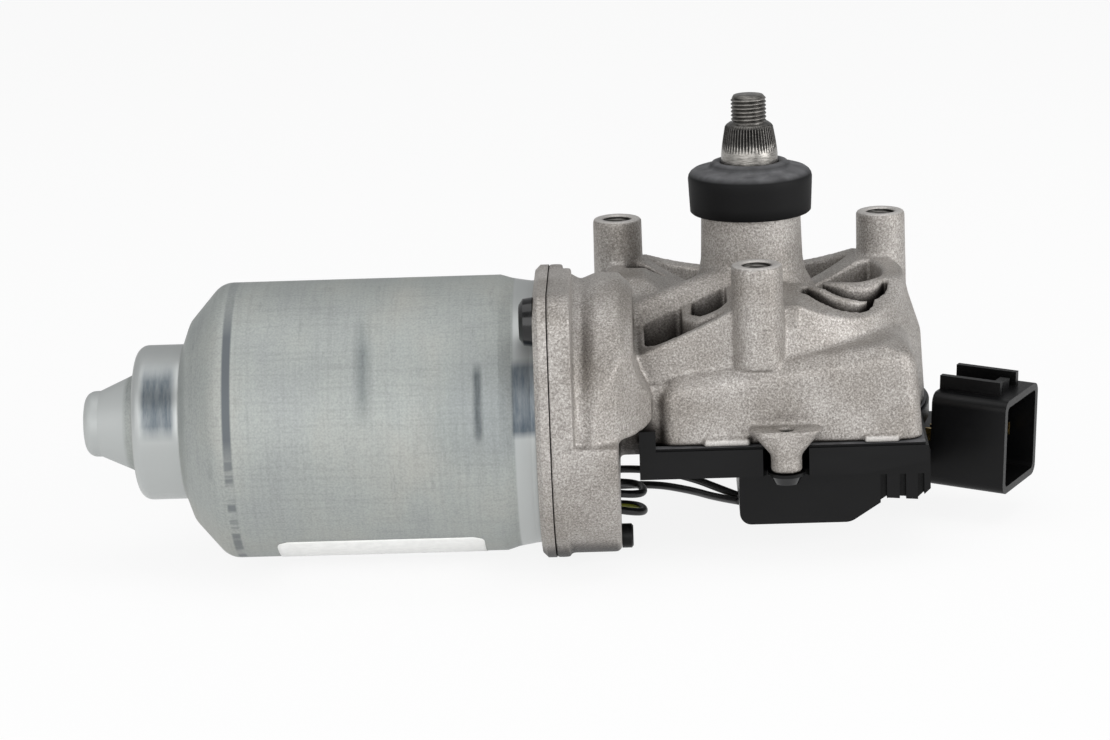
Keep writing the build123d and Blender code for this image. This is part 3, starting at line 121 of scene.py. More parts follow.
def add_camera():
    """Long lens, a little above the object, rolled slightly."""
    pitch, yaw, roll = CAMERA_PITCH, CAMERA_YAW, CAMERA_ROLL
    forward = Vector((-math.sin(yaw) * math.cos(pitch), math.cos(yaw) * math.cos(pitch), -math.sin(pitch)))
    level = Vector((math.cos(yaw), math.sin(yaw), 0))
    up = level.cross(forward)
    right_axis = level * math.cos(roll) - up * math.sin(roll)
    up_axis = level * math.sin(roll) + up * math.cos(roll)
    turned = Matrix((right_axis, up_axis, -forward)).transposed().to_4x4()
    lens = bpy.data.cameras.new("camera")
    lens.lens, lens.sensor_width = LENS_MM, SENSOR_MM
    lens.clip_start, lens.clip_end = 0.01, 20
    camera = bpy.data.objects.new("camera", lens)
    camera.matrix_world = Matrix.Translation(CAMERA_AT) @ turned
    scene.collection.objects.link(camera)
    scene.camera = camera


# ---------------------------------------------------------------- material tools

# hollows within this reach of a wall are darkened: dirt and painted shade on the casting, painted shade on
# the nylon
HOLLOW_REACH_MM = 12.0
# nearly all of a noise pattern lies between these two values
MARK_LOW, MARK_HIGH = 0.3, 0.7
# numbers of the Mix node's sockets, since several of them share a name
MIX_SHARE, FIRST_VALUE, SECOND_VALUE, FIRST_COLOUR, SECOND_COLOUR, MIXED_COLOUR = 0, 2, 3, 6, 7, 2


def linear(hex_colour):
    """A written sRGB colour as linear RGBA."""
    channels = [int(hex_colour[i:i + 2], 16) / 255 for i in (1, 3, 5)]
    return [c / 12.92 if c <= 0.04045 else ((c + 0.055) / 1.055) ** 2.4 for c in channels] + [1.0]


def add_node(tree, kind, inputs=None, output=0, stops=(), **settings):
    """Adds a shader node with its settings and links, and gives one of its outputs.

    A socket given another node's output is linked to it. Stops are a colour ramp's places and hex colours.
    """
    made = tree.nodes.new("ShaderNode" + kind)
    for name, value in settings.items():
        setattr(made, name, value)
    for name, value in (inputs or {}).items():
        if isinstance(value, bpy.types.NodeSocket):
            tree.links.new(value, made.inputs[name])
        else:
            made.inputs[name].default_value = value
    if stops:
        elements = made.color_ramp.elements
        while len(elements) < len(stops):
            elements.new(0.5)
        for element, (position, colour) in zip(elements, stops):
            element.position, element.color = position, linear(colour)
    return made.outputs[output] if len(made.outputs) else None


def start_material(name, roughness, metallic=0.0, **sockets):
    """A material, its node tree and the place on the piece; plain numbers go on the shader's own sockets."""
    made = bpy.data.materials.new(name)
    made.use_nodes = True
    tree = made.node_tree
    shader = tree.nodes["Principled BSDF"]
    shader.inputs["Roughness"].default_value = roughness
    shader.inputs["Metallic"].default_value = metallic
    for socket, value in sockets.items():
        shader.inputs[socket.replace("_", " ")].default_value = value
    return made, tree, add_node(tree, "TexCoord", output="Object")


def mottle(tree, place, size_mm, detail=2.0, rough=0.5, stretch=(1, 1, 1)):
    """Irregular marks about size_mm across, drawn out along an axis by stretch."""
    scaled = add_node(tree, "Mapping", {"Vector": place, "Scale": [1 / s for s in stretch]})
    return add_node(tree, "TexNoise", {
        "Vector": scaled, "Scale": 1 / (size_mm * MM), "Detail": detail, "Roughness": rough,
    }, "Fac")


def within(tree, value, limits_mm, soft_mm):
    """One where a coordinate lies between two places and nothing outside, with soft edges."""
    low, high = limits_mm
    rise = add_node(tree, "MapRange", {
        "Value": value, "From Min": (low - soft_mm) * MM, "From Max": (low + soft_mm) * MM})
    fall = add_node(tree, "MapRange", {
        "Value": value, "From Min": (high - soft_mm) * MM, "From Max": (high + soft_mm) * MM,
        "To Min": 1.0, "To Max": 0.0})
    return add_node(tree, "Math", {0: rise, 1: fall}, operation="MULTIPLY")


def lay_over(tree, colour, *layers):
    """A colour with layers laid over it in turn: MIX covers it and MULTIPLY darkens it, by a share."""
    for how, share, layer in layers:
        colour = add_node(tree, "Mix", {MIX_SHARE: share, FIRST_COLOUR: colour, SECOND_COLOUR: layer},
                          MIXED_COLOUR, data_type="RGBA", blend_type=how)
    return colour


def link_finish(tree, colour, shine=None, relief=None, depth_mm=0.02, strength=0.3):
    """Links the colour, the shine and the relief of a finish to its shader.

    Shine is a pattern and the roughness at its low and high marks; relief is a pattern depth_mm deep.
    """
    shader = tree.nodes["Principled BSDF"]
    tree.links.new(colour, shader.inputs["Base Color"])
    if shine:
        pattern, at_low, at_high = shine
        roughness = add_node(tree, "MapRange", {
            "Value": pattern, "From Min": MARK_LOW, "From Max": MARK_HIGH,
            "To Min": at_low, "To Max": at_high})
        tree.links.new(roughness, shader.inputs["Roughness"])
    if relief is not None:
        normal = add_node(tree, "Bump", {"Height": relief, "Distance": depth_mm * MM, "Strength": strength})
        tree.links.new(normal, shader.inputs["Normal"])


# ---------------------------------------------------------------- materials

def blasted_colour(tree, place):
    """Warm light grey with a sandy sparkle, soft darker clouds, and dirt and painted shade in the hollows."""
    # the grain of a shot-blasted casting is 0.2 mm; drawn at 0.42 mm so that it shows
    grain = mottle(tree, place, 0.42, detail=3.0, rough=0.75)
    clouds = mottle(tree, place, 14.0, detail=3.0)
    openness = add_node(tree, "AmbientOcclusion", {"Distance": HOLLOW_REACH_MM * MM}, "AO", samples=8)
    sparkle = add_node(tree, "ValToRGB", {"Fac": grain}, stops=(
        (0.30, "#7d7875"), (0.46, "#a4a09c"), (0.55, "#b6b2ae"), (0.70, "#dad8d5")))
    tint = add_node(tree, "ValToRGB", {"Fac": clouds}, stops=((0.35, "#dedcd9"), (0.65, "#ffffff")))
    # dirt and painted shade darken the hollows
    dirt_and_painted_shade = add_node(tree, "ValToRGB", {"Fac": openness}, stops=(
        (0.16, "#221e1b"), (0.42, "#7f7a77"), (0.56, "#f8f7f6")))
    return lay_over(tree, sparkle, ("MULTIPLY", 1.0, tint), ("MULTIPLY", 1.0, dirt_and_painted_shade)), grain


def milled_share(tree, place):
    """How bright the milled tops of the posts are: over half on them, nothing beside or below them."""
    nearest = 1.0
    for index in range(POST_COUNT):
        x, y = post_place(index)
        away = add_node(tree, "VectorMath", {0: place, 1: (x * MM, y * MM, 0.0)}, "Value",
                        operation="DISTANCE")
        nearest = add_node(tree, "Math", {0: nearest, 1: away}, operation="MINIMUM")
    beside = add_node(tree, "MapRange", {
        "Value": nearest, "From Min": MILLED_R * MM, "From Max": (MILLED_R + 0.3) * MM,
        "To Min": 0.55, "To Max": 0.0})
    height = add_node(tree, "SeparateXYZ", {0: place}, "Z")
    on_top = add_node(tree, "MapRange", {
        "Value": height, "From Min": -2 * MILLED_DEPTH * MM, "From Max": -MILLED_DEPTH * MM})
    return add_node(tree, "Math", {0: beside, 1: on_top}, operation="MULTIPLY")


def broken_flash_share(tree, place):
    """How much raw metal shows on the two pads of the rim where the flash was broken off."""
    along, across, height = (add_node(tree, "SeparateXYZ", {0: place}, axis) for axis in "XYZ")
    left, right = (within(tree, along, pad, 0.3) for pad in FLASH_PADS_X)
    pads = add_node(tree, "Math", {0: left, 1: right}, operation="MAXIMUM")
    on_front = add_node(tree, "MapRange", {
        "Value": across, "From Min": (FLASH_FRONT_Y - 1.0) * MM, "From Max": FLASH_FRONT_Y * MM,
        "To Min": 1.0, "To Max": 0.0})
    on_rim = within(tree, height, FLASH_RIM_Z, 0.2)
    rim = add_node(tree, "Math", {0: on_front, 1: on_rim}, operation="MULTIPLY")
    faint = add_node(tree, "Math", {0: pads, 1: 0.4}, operation="MULTIPLY")
    return add_node(tree, "Math", {0: rim, 1: faint}, operation="MULTIPLY")


def boss_hole_share(tree, place):
    """One inside the small hole of the front boss, which oil and shadow keep dark."""
    away = add_node(tree, "VectorMath", {0: place, 1: [c * MM for c in BOSS_HOLE_MIDDLE]}, "Value",
                    operation="DISTANCE")
    return add_node(tree, "MapRange", {
        "Value": away, "From Min": (BOSS_HOLE_R + 0.6) * MM, "From Max": (BOSS_HOLE_R + 0.8) * MM,
        "To Min": 1.0, "To Max": 0.0})


def cast_aluminium_colour(tree, place):
    """Blasted casting with milled post tops, raw flash pads and a dark boss hole; also gives its grain."""
    colour, grain = blasted_colour(tree, place)
    colour = lay_over(tree, colour,
                      ("MIX", milled_share(tree, place), linear("#d9d6d3")),
                      ("MIX", broken_flash_share(tree, place), linear("#e6e4e1")),
                      ("MIX", boss_hole_share(tree, place), linear("#24211f")))
    return colour, grain


def die_cast_aluminium():
    """As-cast, shot-blasted aluminium: pale, grainy, with a broad soft shine."""
    made, tree, place = start_material("die_cast_aluminium", 0.5, 0.55)
    colour, grain = cast_aluminium_colour(tree, place)
    link_finish(tree, colour, (grain, 0.62, 0.42), grain, 0.10, 0.8)
    return made


# smudges where the can was gripped, and painted dark reflections on the relief band and the drum band: limits
# along X, limits in height, softness in mm, and shade
SMUDGES_AND_REFLECTIONS = (
    ((-86.2, -83.6), (-25.5, -9.5), 1.2, "#c3c7ca"),
    ((-61.2, -59.6), (-31.3, -16.7), 0.5, "#8f959a"),
    ((-72.0, -52.0), (-31.0, -22.0), 3.0, "#d6dadd"),
    # painted dark reflection on the burnished relief band
    ((-53.2, -48.3), (-31.0, -16.4), 0.3, "#6f7c8a"),
    # painted dark reflection on the drum band
    ((-134.2, -127.2), (-31.8, -19.4), 0.6, "#77828d"),
)


def smudge_and_reflection_layers(tree, along, height, stains):
    """The smudges and painted dark reflections as layers that darken the plate, broken up by its stains."""
    broken = add_node(tree, "MapRange", {
        "Value": stains, "From Min": 0.35, "From Max": 0.6, "To Min": 1.0, "To Max": 0.7})
    layers = []
    for reach, rise, soft, shade in SMUDGES_AND_REFLECTIONS:
        area = add_node(tree, "Math", {
            0: within(tree, along, reach, soft), 1: within(tree, height, rise, 3 * soft),
        }, operation="MULTIPLY")
        share = add_node(tree, "Math", {0: area, 1: broken}, operation="MULTIPLY")
        layers.append(("MULTIPLY", share, linear(shade)))
    return layers


def painted_reflection_ring_share(tree, place, along, height):
    """The painted dark reflection ring at the shoulder: broken to dashes low down, faint on top."""
    dashes = mottle(tree, place, 2.2, stretch=(8.0, 1.0, 1.0))
    whole = add_node(tree, "MapRange", {
        "Value": height, "From Min": RING_DASHED_Z[0] * MM, "From Max": RING_DASHED_Z[1] * MM})
    dashed = add_node(tree, "MapRange", {
        "Value": dashes, "From Min": 0.42, "From Max": 0.55, "To Min": 0.75, "To Max": 0.1})
    dashes_or_whole = add_node(tree, "Math", {0: whole, 1: dashed}, operation="MAXIMUM")
    below_top = add_node(tree, "MapRange", {
        "Value": height, "From Min": RING_FAINT_Z[0] * MM, "From Max": RING_FAINT_Z[1] * MM,
        "To Min": 1.0, "To Max": 0.25})
    lasting = add_node(tree, "Math", {0: dashes_or_whole, 1: below_top}, operation="MULTIPLY")
    # painted dark reflection where the can's shoulder rounds over
    ring = within(tree, along, PAINTED_REFLECTION_RING_X, 0.2)
    return add_node(tree, "Math", {0: ring, 1: lasting}, operation="MULTIPLY")


def zinc_plated_steel():
    """Drawn steel can with a satin zinc plate: faint marks round it, cloudy stains, burnished rings, painted
    light on the nose and painted dark reflections.
    """
    made, tree, place = start_material("zinc_plated_steel", 0.55, 0.35)
    along, height = (add_node(tree, "SeparateXYZ", {0: place}, axis) for axis in "XZ")
    # drawing marks run round the can: short along X, long round it
    # they are about 0.1 mm wide; drawn at 0.9 mm so that they show
    streaks = mottle(tree, place, 0.9, detail=4.0, rough=0.6, stretch=(1.0, 30.0, 30.0))
    scuffs = mottle(tree, place, 0.7, detail=3.0, rough=0.6, stretch=(24.0, 1.0, 1.0))
    clouds = mottle(tree, place, 16.0, detail=3.0, stretch=(1.0, 1.6, 1.6))
    stains = mottle(tree, place, 4.0, detail=5.0, rough=0.65, stretch=(0.5, 2.5, 2.5))
    # the plate's crystals are under 0.1 mm; drawn at 0.45 mm so that they show
    crystals = mottle(tree, place, 0.45)
    plate = add_node(tree, "ValToRGB", {"Fac": clouds}, stops=(
        (0.30, "#9da1a0"), (0.5, "#a5a9a6"), (0.70, "#acada8")))
    for share, pattern, stops in (
            (0.3, streaks, ((0.30, "#dcdcdc"), (0.55, "#ffffff"))),
            (0.16, scuffs, ((0.34, "#c4c4c6"), (0.48, "#ffffff"))),
            (0.28, stains, ((0.27, "#b4b8ba"), (0.40, "#ffffff"))),
            (0.5, crystals, ((0.3, "#cfd0cf"), (0.7, "#ffffff")))):
        shade = add_node(tree, "ValToRGB", {"Fac": pattern}, stops=stops)
        plate = lay_over(tree, plate, ("MULTIPLY", share, shade))
    # bright rings: the burnished drum band and relief by the flange, and painted light on the nose
    drum, relief = within(tree, along, DRUM_BAND_X, 0.3), within(tree, along, RELIEF_BAND_X, 0.2)
    burnished = add_node(tree, "Math", {0: drum, 1: relief}, operation="MAXIMUM")
    nose_painted_light = add_node(tree, "MapRange", {
        "Value": along, "From Min": (NOSE_END_X - 1.0) * MM, "From Max": NOSE_END_X * MM,
        "To Min": 1.0, "To Max": 0.0})
    burnished_and_painted_light = add_node(tree, "Math", {0: burnished, 1: nose_painted_light}, operation="MAXIMUM")
    # painted light on the nose, smudges with painted dark reflections, and the painted dark reflection ring
    plate = lay_over(tree, plate,
                     ("MIX", burnished_and_painted_light, linear("#b2b5b4")),
                     *smudge_and_reflection_layers(tree, along, height, stains),
                     ("MIX", painted_reflection_ring_share(tree, place, along, height), linear("#5d6266")))
    # the flange has the casting's blasted look
    cast, cast_grain = cast_aluminium_colour(tree, place)
    at_flange = add_node(tree, "MapRange", {
        "Value": along, "From Min": (FLANGE_BACK_X - 0.05) * MM, "From Max": (FLANGE_BACK_X + 0.05) * MM})
    satin = add_node(tree, "MapRange", {
        "Value": clouds, "From Min": MARK_LOW, "From Max": MARK_HIGH, "To Min": 0.5, "To Max": 0.6})
    can_roughness = add_node(tree, "Mix", {MIX_SHARE: burnished, FIRST_VALUE: satin, SECOND_VALUE: 0.36})
    roughness = add_node(tree, "Mix", {MIX_SHARE: at_flange, FIRST_VALUE: can_roughness, SECOND_VALUE: 0.52})
    metallic = add_node(tree, "Mix", {MIX_SHARE: burnished, FIRST_VALUE: 0.35, SECOND_VALUE: 0.5})
    surface = add_node(tree, "Mix", {MIX_SHARE: at_flange, FIRST_VALUE: streaks, SECOND_VALUE: cast_grain})
    shader = tree.nodes["Principled BSDF"]
    tree.links.new(roughness, shader.inputs["Roughness"])
    tree.links.new(metallic, shader.inputs["Metallic"])
    link_finish(tree, lay_over(tree, plate, ("MIX", at_flange, cast)), relief=surface, strength=0.25)
    return made


def moulded_nylon():
    """Black glass-filled nylon: satin, with faint flow marks, fibre grain and painted shade in its hollows.
    """
    made, tree, place = start_material("glass_filled_nylon", 0.36, Specular_IOR_Level=0.2)
    # the chopped glass fibres are 0.2 to 0.4 mm long
    fibres = mottle(tree, place, 0.4, detail=3.0)
    flow = mottle(tree, place, 8.0, detail=3.0, stretch=(3, 1, 1))
    openness = add_node(tree, "AmbientOcclusion", {"Distance": HOLLOW_REACH_MM * MM}, "AO", samples=8)
    skin = add_node(tree, "ValToRGB", {"Fac": flow}, stops=((0.35, "#060607"), (0.7, "#0c0c0d")))
    # painted shade darkens the hollows
    shade = add_node(tree, "ValToRGB", {"Fac": openness}, stops=((0.15, "#101010"), (0.6, "#ffffff")))
    colour = lay_over(tree, skin, ("MULTIPLY", 1.0, shade))
    link_finish(tree, colour, (fibres, 0.30, 0.44), fibres, strength=0.4)
    return made


def epdm_rubber():
    """Black moulded rubber: matt, with a painted grey sheen in patches on what faces up."""
    made, tree, place = start_material("epdm_rubber", 0.62, Specular_IOR_Level=0.2)
    # the mould's eroded texture is 0.05 mm; drawn at 0.3 mm so that it shows
    grain = mottle(tree, place, 0.3)
    sheen_patches = mottle(tree, place, 3.0, detail=4.0)
    # painted sheen: faces that point up are lighter grey
    facing = add_node(tree, "NewGeometry", output="Normal")
    upward = add_node(tree, "SeparateXYZ", {0: facing}, "Z")
    on_top = add_node(tree, "MapRange", {"Value": upward, "From Min": 0.4, "From Max": 0.95})
    patchy = add_node(tree, "MapRange", {
        "Value": sheen_patches, "From Min": 0.25, "From Max": 0.75, "To Min": 0.45, "To Max": 1.0})
    painted_sheen = add_node(tree, "Math", {0: on_top, 1: patchy}, operation="MULTIPLY")
    colour = lay_over(tree, linear("#050506"), ("MIX", painted_sheen, linear("#6a6a6c")))
    link_finish(tree, colour, relief=grain, strength=0.5)
    return made


def black_plated_steel():
    """Zinc-nickel screws in glossy black, rubbed a little paler in places."""
    made, tree, place = start_material("black_plated_steel", 0.16)
    wear = mottle(tree, place, 1.2, detail=4.0)
    colour = add_node(tree, "ValToRGB", {"Fac": wear}, stops=((0.4, "#030304"), (0.75, "#0c0c0e")))
    link_finish(tree, colour, (wear, 0.12, 0.22))
    return made


def phosphated_steel():
    """Shaft steel: dark phosphate between the serrations, bright where it is turned."""
    made, tree, place = start_material("phosphated_steel", 0.34, 0.9)
    # phosphate crystals are 0.02 mm; drawn at 0.25 mm, and longer round the shaft, so that they show
    crystals = mottle(tree, place, 0.25, detail=3.0, stretch=(6, 6, 1))
    hollow = add_node(tree, "Attribute", output="Fac", attribute_name="hollow")
    turned = add_node(tree, "ValToRGB", {"Fac": crystals}, stops=((0.3, "#6c6965"), (0.7, "#aeaba6")))
    coated = add_node(tree, "ValToRGB", {"Fac": crystals}, stops=((0.3, "#060606"), (0.7, "#161515")))
    link_finish(tree, lay_over(tree, turned, ("MIX", hollow, coated)), (crystals, 0.28, 0.42))
    return made


def polyester_label():
    """White film label, bare, with a faint sheen and a slight ripple."""
    made, tree, place = start_material("polyester_label", 0.42)
    ripple = mottle(tree, place, 1.5, detail=4.0)
    colour = add_node(tree, "ValToRGB", {"Fac": ripple}, stops=((0.3, "#f0f0ee"), (0.7, "#fafaf8")))
    link_finish(tree, colour, relief=ripple, depth_mm=0.01)
    return made


# where the stripe starts and stops fading, as a share of the way round from its middle
STRIPE_EDGE = (0.075, 0.10)


def pvc_insulation(striped):
    """Soft black insulation; one lead has a thin yellow-green stripe along it."""
    made, tree, place = start_material("pvc_striped" if striped else "pvc_black", 0.38)
    scuff = mottle(tree, place, 1.0, detail=3.0)
    colour = add_node(tree, "ValToRGB", {"Fac": scuff}, stops=((0.35, "#0c0c0d"), (0.7, "#1d1d1e")))
    if striped:
        around = add_node(tree, "SeparateXYZ", {0: add_node(tree, "UVMap", uv_map="tube")}, "Y")
        turned = add_node(tree, "Math", {0: around, 1: 0.5}, operation="SUBTRACT")
        off = add_node(tree, "Math", {0: turned}, operation="ABSOLUTE")
        stripe = add_node(tree, "MapRange", {
            "Value": off, "From Min": STRIPE_EDGE[0], "From Max": STRIPE_EDGE[1],
            "To Min": 1.0, "To Max": 0.0})
        colour = lay_over(tree, colour, ("MIX", stripe, linear("#9aa02a")))
    link_finish(tree, colour, relief=scuff)
    return made


def plain_metal(name, low, high, roughness, marks_mm, metallic=1.0, stretch=(1, 1, 1)):
    """Bare or dull metal of an inner piece, between two colours; its fine marks are drawn marks_mm wide."""
    made, tree, place = start_material(name, roughness, metallic)
    marks = mottle(tree, place, marks_mm, detail=3.0, stretch=stretch)
    colour = add_node(tree, "ValToRGB", {"Fac": marks}, stops=((0.3, low), (0.7, high)))
    link_finish(tree, colour, (marks, roughness - 0.06, roughness + 0.06), marks, 0.015)
    return made


def acetal_resin():
    """Natural acetal of the gear wheel: milky, waxy."""
    made, tree, place = start_material("acetal_resin", 0.35, Subsurface_Weight=0.15,
                                       Subsurface_Radius=(0.002, 0.002, 0.0015))
    flow = mottle(tree, place, 5.0, detail=3.0)
    colour = add_node(tree, "ValToRGB", {"Fac": flow}, stops=((0.3, "#ddd8c8"), (0.7, "#efebdf")))
    link_finish(tree, colour, relief=flow)
    return made


# ---------------------------------------------------------------- mesh tools

def link_mesh(name, mesh):
    """A mesh as an object in the scene."""
    made = bpy.data.objects.new(name, mesh)
    scene.collection.objects.link(made)
    return made


def mesh_object(name, vertices, faces):
    """A smooth-shaded piece from points in metres."""
    mesh = bpy.data.meshes.new(name)
    mesh.from_pydata(vertices, [], faces)
    mesh.polygons.foreach_set("use_smooth", [True] * len(mesh.polygons))
    mesh.update()
    return link_mesh(name, mesh)


def turned_point(radius, turn, z, middle=(0.0, 0.0)):
    """Point in metres on a piece turned about an upright axis, at a share of one turn."""
    angle = 2 * math.pi * turn
    return (middle[0] + radius * math.cos(angle)) * MM, (middle[1] + radius * math.sin(angle)) * MM, z * MM


def ring_faces(rings, columns, joined=False):
    """Four-sided faces between closed rings of points; joined also closes the last ring to the first."""
    faces = []
    for ring in range(rings if joined else rings - 1):
        a, b = ring * columns, (ring + 1) % rings * columns
        for column in range(columns):
            following = (column + 1) % columns
            faces.append((a + column, a + following, b + following, b + column))
    return faces


def applied_copy(name, source, set_modifiers):
    """A copy of a piece's mesh with modifiers worked in."""
    copy = link_mesh(name, source.data.copy())
    set_modifiers(copy)
    baked = bpy.data.meshes.new_from_object(copy.evaluated_get(bpy.context.evaluated_depsgraph_get()))
    copy.modifiers.clear()
    copy.data = baked
    return copy


def weld(piece):
    """Merges coincident points and turns every face outwards."""
    clean = bmesh.new()
    clean.from_mesh(piece.data)
    bmesh.ops.remove_doubles(clean, verts=clean.verts, dist=1e-7)
    bmesh.ops.recalc_face_normals(clean, faces=clean.faces)
    clean.to_mesh(piece.data)
    clean.free()


def set_hollows(piece, darkness):
    """Stores how dark each point of a thread or serration is, for the steel's finish."""
    piece.data.attributes.new("hollow", "FLOAT", "POINT").data.foreach_set("value", darkness)


def finish_piece(piece, body, slot, material, *replaced):
    """Gives a piece its material and its body, and hides the nodes that it stands for; the slot is not used.
    """
    piece.data.materials.clear()
    piece.data.materials.append(material)
    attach(piece, body)
    if replaced:
        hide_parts(*replaced)
    return piece


# rounding of the edges of pieces that keep their own shape, in mm
EDGE_WIDTHS = {"gear_cover": 0.45, "terminal_box": 0.4, "connector_housing": 0.35, "yoke_bolts": 0.5,
               "cover_screws": 0.4}
EDGE_SEGMENTS, SHARP_DEGREES = 3, 35


def soften_edges(node, width_mm):
    """Rounds the sharp edges of a node."""
    bevel = nodes[node].modifiers.new("moulded_edges", "BEVEL")
    bevel.width, bevel.segments = width_mm * MM, EDGE_SEGMENTS
    bevel.limit_method, bevel.angle_limit = "ANGLE", math.radians(SHARP_DEGREES)
    bevel.use_clamp_overlap = True
    bevel.harden_normals = True


# ---------------------------------------------------------------- casting

# a voxel grid, smoothed this many times, turns sharp corners into cast fillets
CAST_VOXEL_MM, CAST_SMOOTHINGS = 0.45, 7


def drill(middle, steps):
    """Turned cutter on an upright axis, through steps of radius and height from the top down."""
    sides = 48
    vertices = [turned_point(radius, side / sides, z, middle) for radius, z in steps for side in range(sides)]
    last = (len(steps) - 1) * sides
    faces = [tuple(range(sides)), tuple(reversed(range(last, last + sides)))]
    faces += [(q, p, s, r) for p, q, r, s in ring_faces(len(steps), sides)]
    cutter = mesh_object("drill", vertices, faces)
    weld(cutter)
    return cutter


def cast_housing(material):
    """The housing with the rounded edges and soft inner corners of a casting, and crisp drilled posts."""
    # each bore starts 0.5 mm above the post and narrows through its chamfer
    bore = ((POST_MOUTH_R + 0.5, 0.5), (POST_BORE_R, POST_BORE_R - POST_MOUTH_R),
            (POST_BORE_R, -POST_BORE_DEPTH))
    drills = [drill(post_place(index), bore) for index in range(POST_COUNT)]
    drills.append(drill(BOSS_HOLE_MIDDLE, ((BOSS_HOLE_R, BOSS_HOLE_TOP), (BOSS_HOLE_R, BOSS_HOLE_FLOOR))))

    def round_off(copy):
        remesh = copy.modifiers.new("even", "REMESH")
        remesh.mode, remesh.voxel_size, remesh.use_smooth_shade = "VOXEL", CAST_VOXEL_MM * MM, True
        relax = copy.modifiers.new("fillets", "SMOOTH")
        relax.factor, relax.iterations = 0.5, CAST_SMOOTHINGS

    def drill_holes(copy):
        for cutter in drills:
            cut = copy.modifiers.new("drill", "BOOLEAN")
            cut.operation, cut.solver, cut.object = "DIFFERENCE", "MANIFOLD", cutter

    rounded = applied_copy("rounded", nodes["gear_housing"], round_off)
    housing = applied_copy("cast_housing", rounded, drill_holes)
    for helper in [rounded] + drills:
        bpy.data.objects.remove(helper)
    return finish_piece(housing, "housing", "cast_aluminium", material, "gear_housing")


# ---------------------------------------------------------------- rubber cap

# radius and height of the cap's section, up its outside, over its lip and down its bore
CAP_PROFILE = (
    (11.3, 4.4), (13.3, 4.4), (13.6, 4.7), (13.72, 7.0), (13.9, 11.0), (13.95, 12.2), (13.8, 12.9),
    (13.4, 13.5), (12.8, 13.95), (12.0, 14.2), (10.6, 14.4), (9.7, 14.55), (9.2, 14.8), (8.8, 15.3),
    (8.4, 15.75), (7.8, 15.95), (7.1, 15.9), (6.75, 15.6), (6.5, 15.5), (6.5, 13.4), (11.3, 13.4),
)


def rubber_cap(material):
    """The rubber cap as a turned skin with a soft shoulder and a raised lip."""
    columns = 120
    vertices = [turned_point(r, column / columns, z) for r, z in CAP_PROFILE for column in range(columns)]
    cap = mesh_object("rubber_cap", vertices, ring_faces(len(CAP_PROFILE), columns, joined=True))
    weld(cap)
    return finish_piece(cap, "housing", "cap_rubber", material, "shaft_cap")


# ---------------------------------------------------------------- output shaft

# serrations round the taper, the height above its foot where they start and run out, and their depth
SERRATIONS, SERRATION_START, SERRATION_RUNOUT, SERRATION_DEPTH = 52, 0.9, 2.6, 0.36
THREAD_PITCH, THREAD_DEPTH = 0.86, 0.42
CIRCLIP_GROOVE_R, CIRCLIP_GROOVE_Z = 5.65, (10.0, 11.3)
FOOT_CHAMFER_R, FOOT_CHAMFER_Z = 1.05, 1.0
# the stud's lead-in: how much its radius narrows, over what height
LEAD_IN_R, LEAD_IN_Z = 0.7, 0.8
# bright line left on each ridge, and its soft edge, as shares of half a serration
BRIGHT_LINE, BRIGHT_EDGE = 0.16, 0.25
# how dark the skin is, from 0, turned bright, to 1, phosphated
DARKNESS = {"plain": 0.1, "shoulder": 0.6, "end": 0.25}
TAPER_STEPS, STUD_STEPS = 30, 72


def spindle_rows():
    """Radius, height and kind of each ring of the spindle, from the foot up."""
    groove_foot, groove_top = CIRCLIP_GROOVE_Z
    rows = [(0.0, SHAFT_FOOT, "plain"), (SHAFT_R - FOOT_CHAMFER_R, SHAFT_FOOT, "plain"),
            (SHAFT_R, SHAFT_FOOT + FOOT_CHAMFER_Z, "plain"), (SHAFT_R, groove_foot, "plain"),
            (CIRCLIP_GROOVE_R, groove_foot + 0.05, "plain"), (CIRCLIP_GROOVE_R, groove_top - 0.05, "plain"),
            (SHAFT_R, groove_top, "plain"), (SHAFT_R, 15.0, "plain"), (SHAFT_R, TAPER_FOOT, "plain")]
    serrated_length = TAPER_TOP - 1.0 - TAPER_FOOT
    for step in range(1, TAPER_STEPS + 1):
        share = step / TAPER_STEPS
        radius = SHAFT_R - (SHAFT_R - TAPER_END_R) * share ** 1.25
        rows.append((radius, TAPER_FOOT + serrated_length * share, "serration"))
    rows += [(5.05, TAPER_TOP - 0.55, "shoulder"), (4.5, TAPER_TOP - 0.15, "shoulder"),
             (3.6, TAPER_TOP, "shoulder")]
    stud_foot, thread_top = TAPER_TOP + 0.1, STUD_TOP - 0.6
    for step in range(STUD_STEPS + 1):
        rows.append((STUD_R, stud_foot + (thread_top - stud_foot) * step / STUD_STEPS, "thread"))
    return rows + [(STUD_R - LEAD_IN_R, STUD_TOP, "end"), (0.0, STUD_TOP, "end")]


def spindle_point(radius, z, kind, turn):
    """Radius and darkness of the spindle's skin at a share of one turn."""
    if kind == "serration":
        ridge = abs(2 * ((turn * SERRATIONS) % 1.0) - 1)
        rise = z - TAPER_FOOT
        runout = min(1.0, max(0.0, (rise - SERRATION_START) / SERRATION_RUNOUT))
        # the turned surface is left bright in a spike between two grooves that run out
        bright_width = max(BRIGHT_LINE, 1.0 - runout)
        coated = min(1.0, max(0.0, (1 - ridge - bright_width + BRIGHT_EDGE) / BRIGHT_EDGE))
        dark = 0.0 if rise < SERRATION_START else coated
        return radius - SERRATION_DEPTH * runout * (1 - ridge), dark * 0.96
    if kind == "thread":
        groove = 1 - abs(2 * ((z / THREAD_PITCH - turn) % 1.0) - 1)
        lead_in = max(0.0, 1 - (STUD_TOP - z) / LEAD_IN_Z)
        return min(radius - THREAD_DEPTH * groove, STUD_R - LEAD_IN_R * lead_in), 0.12 + 0.8 * groove
    return radius, DARKNESS[kind]


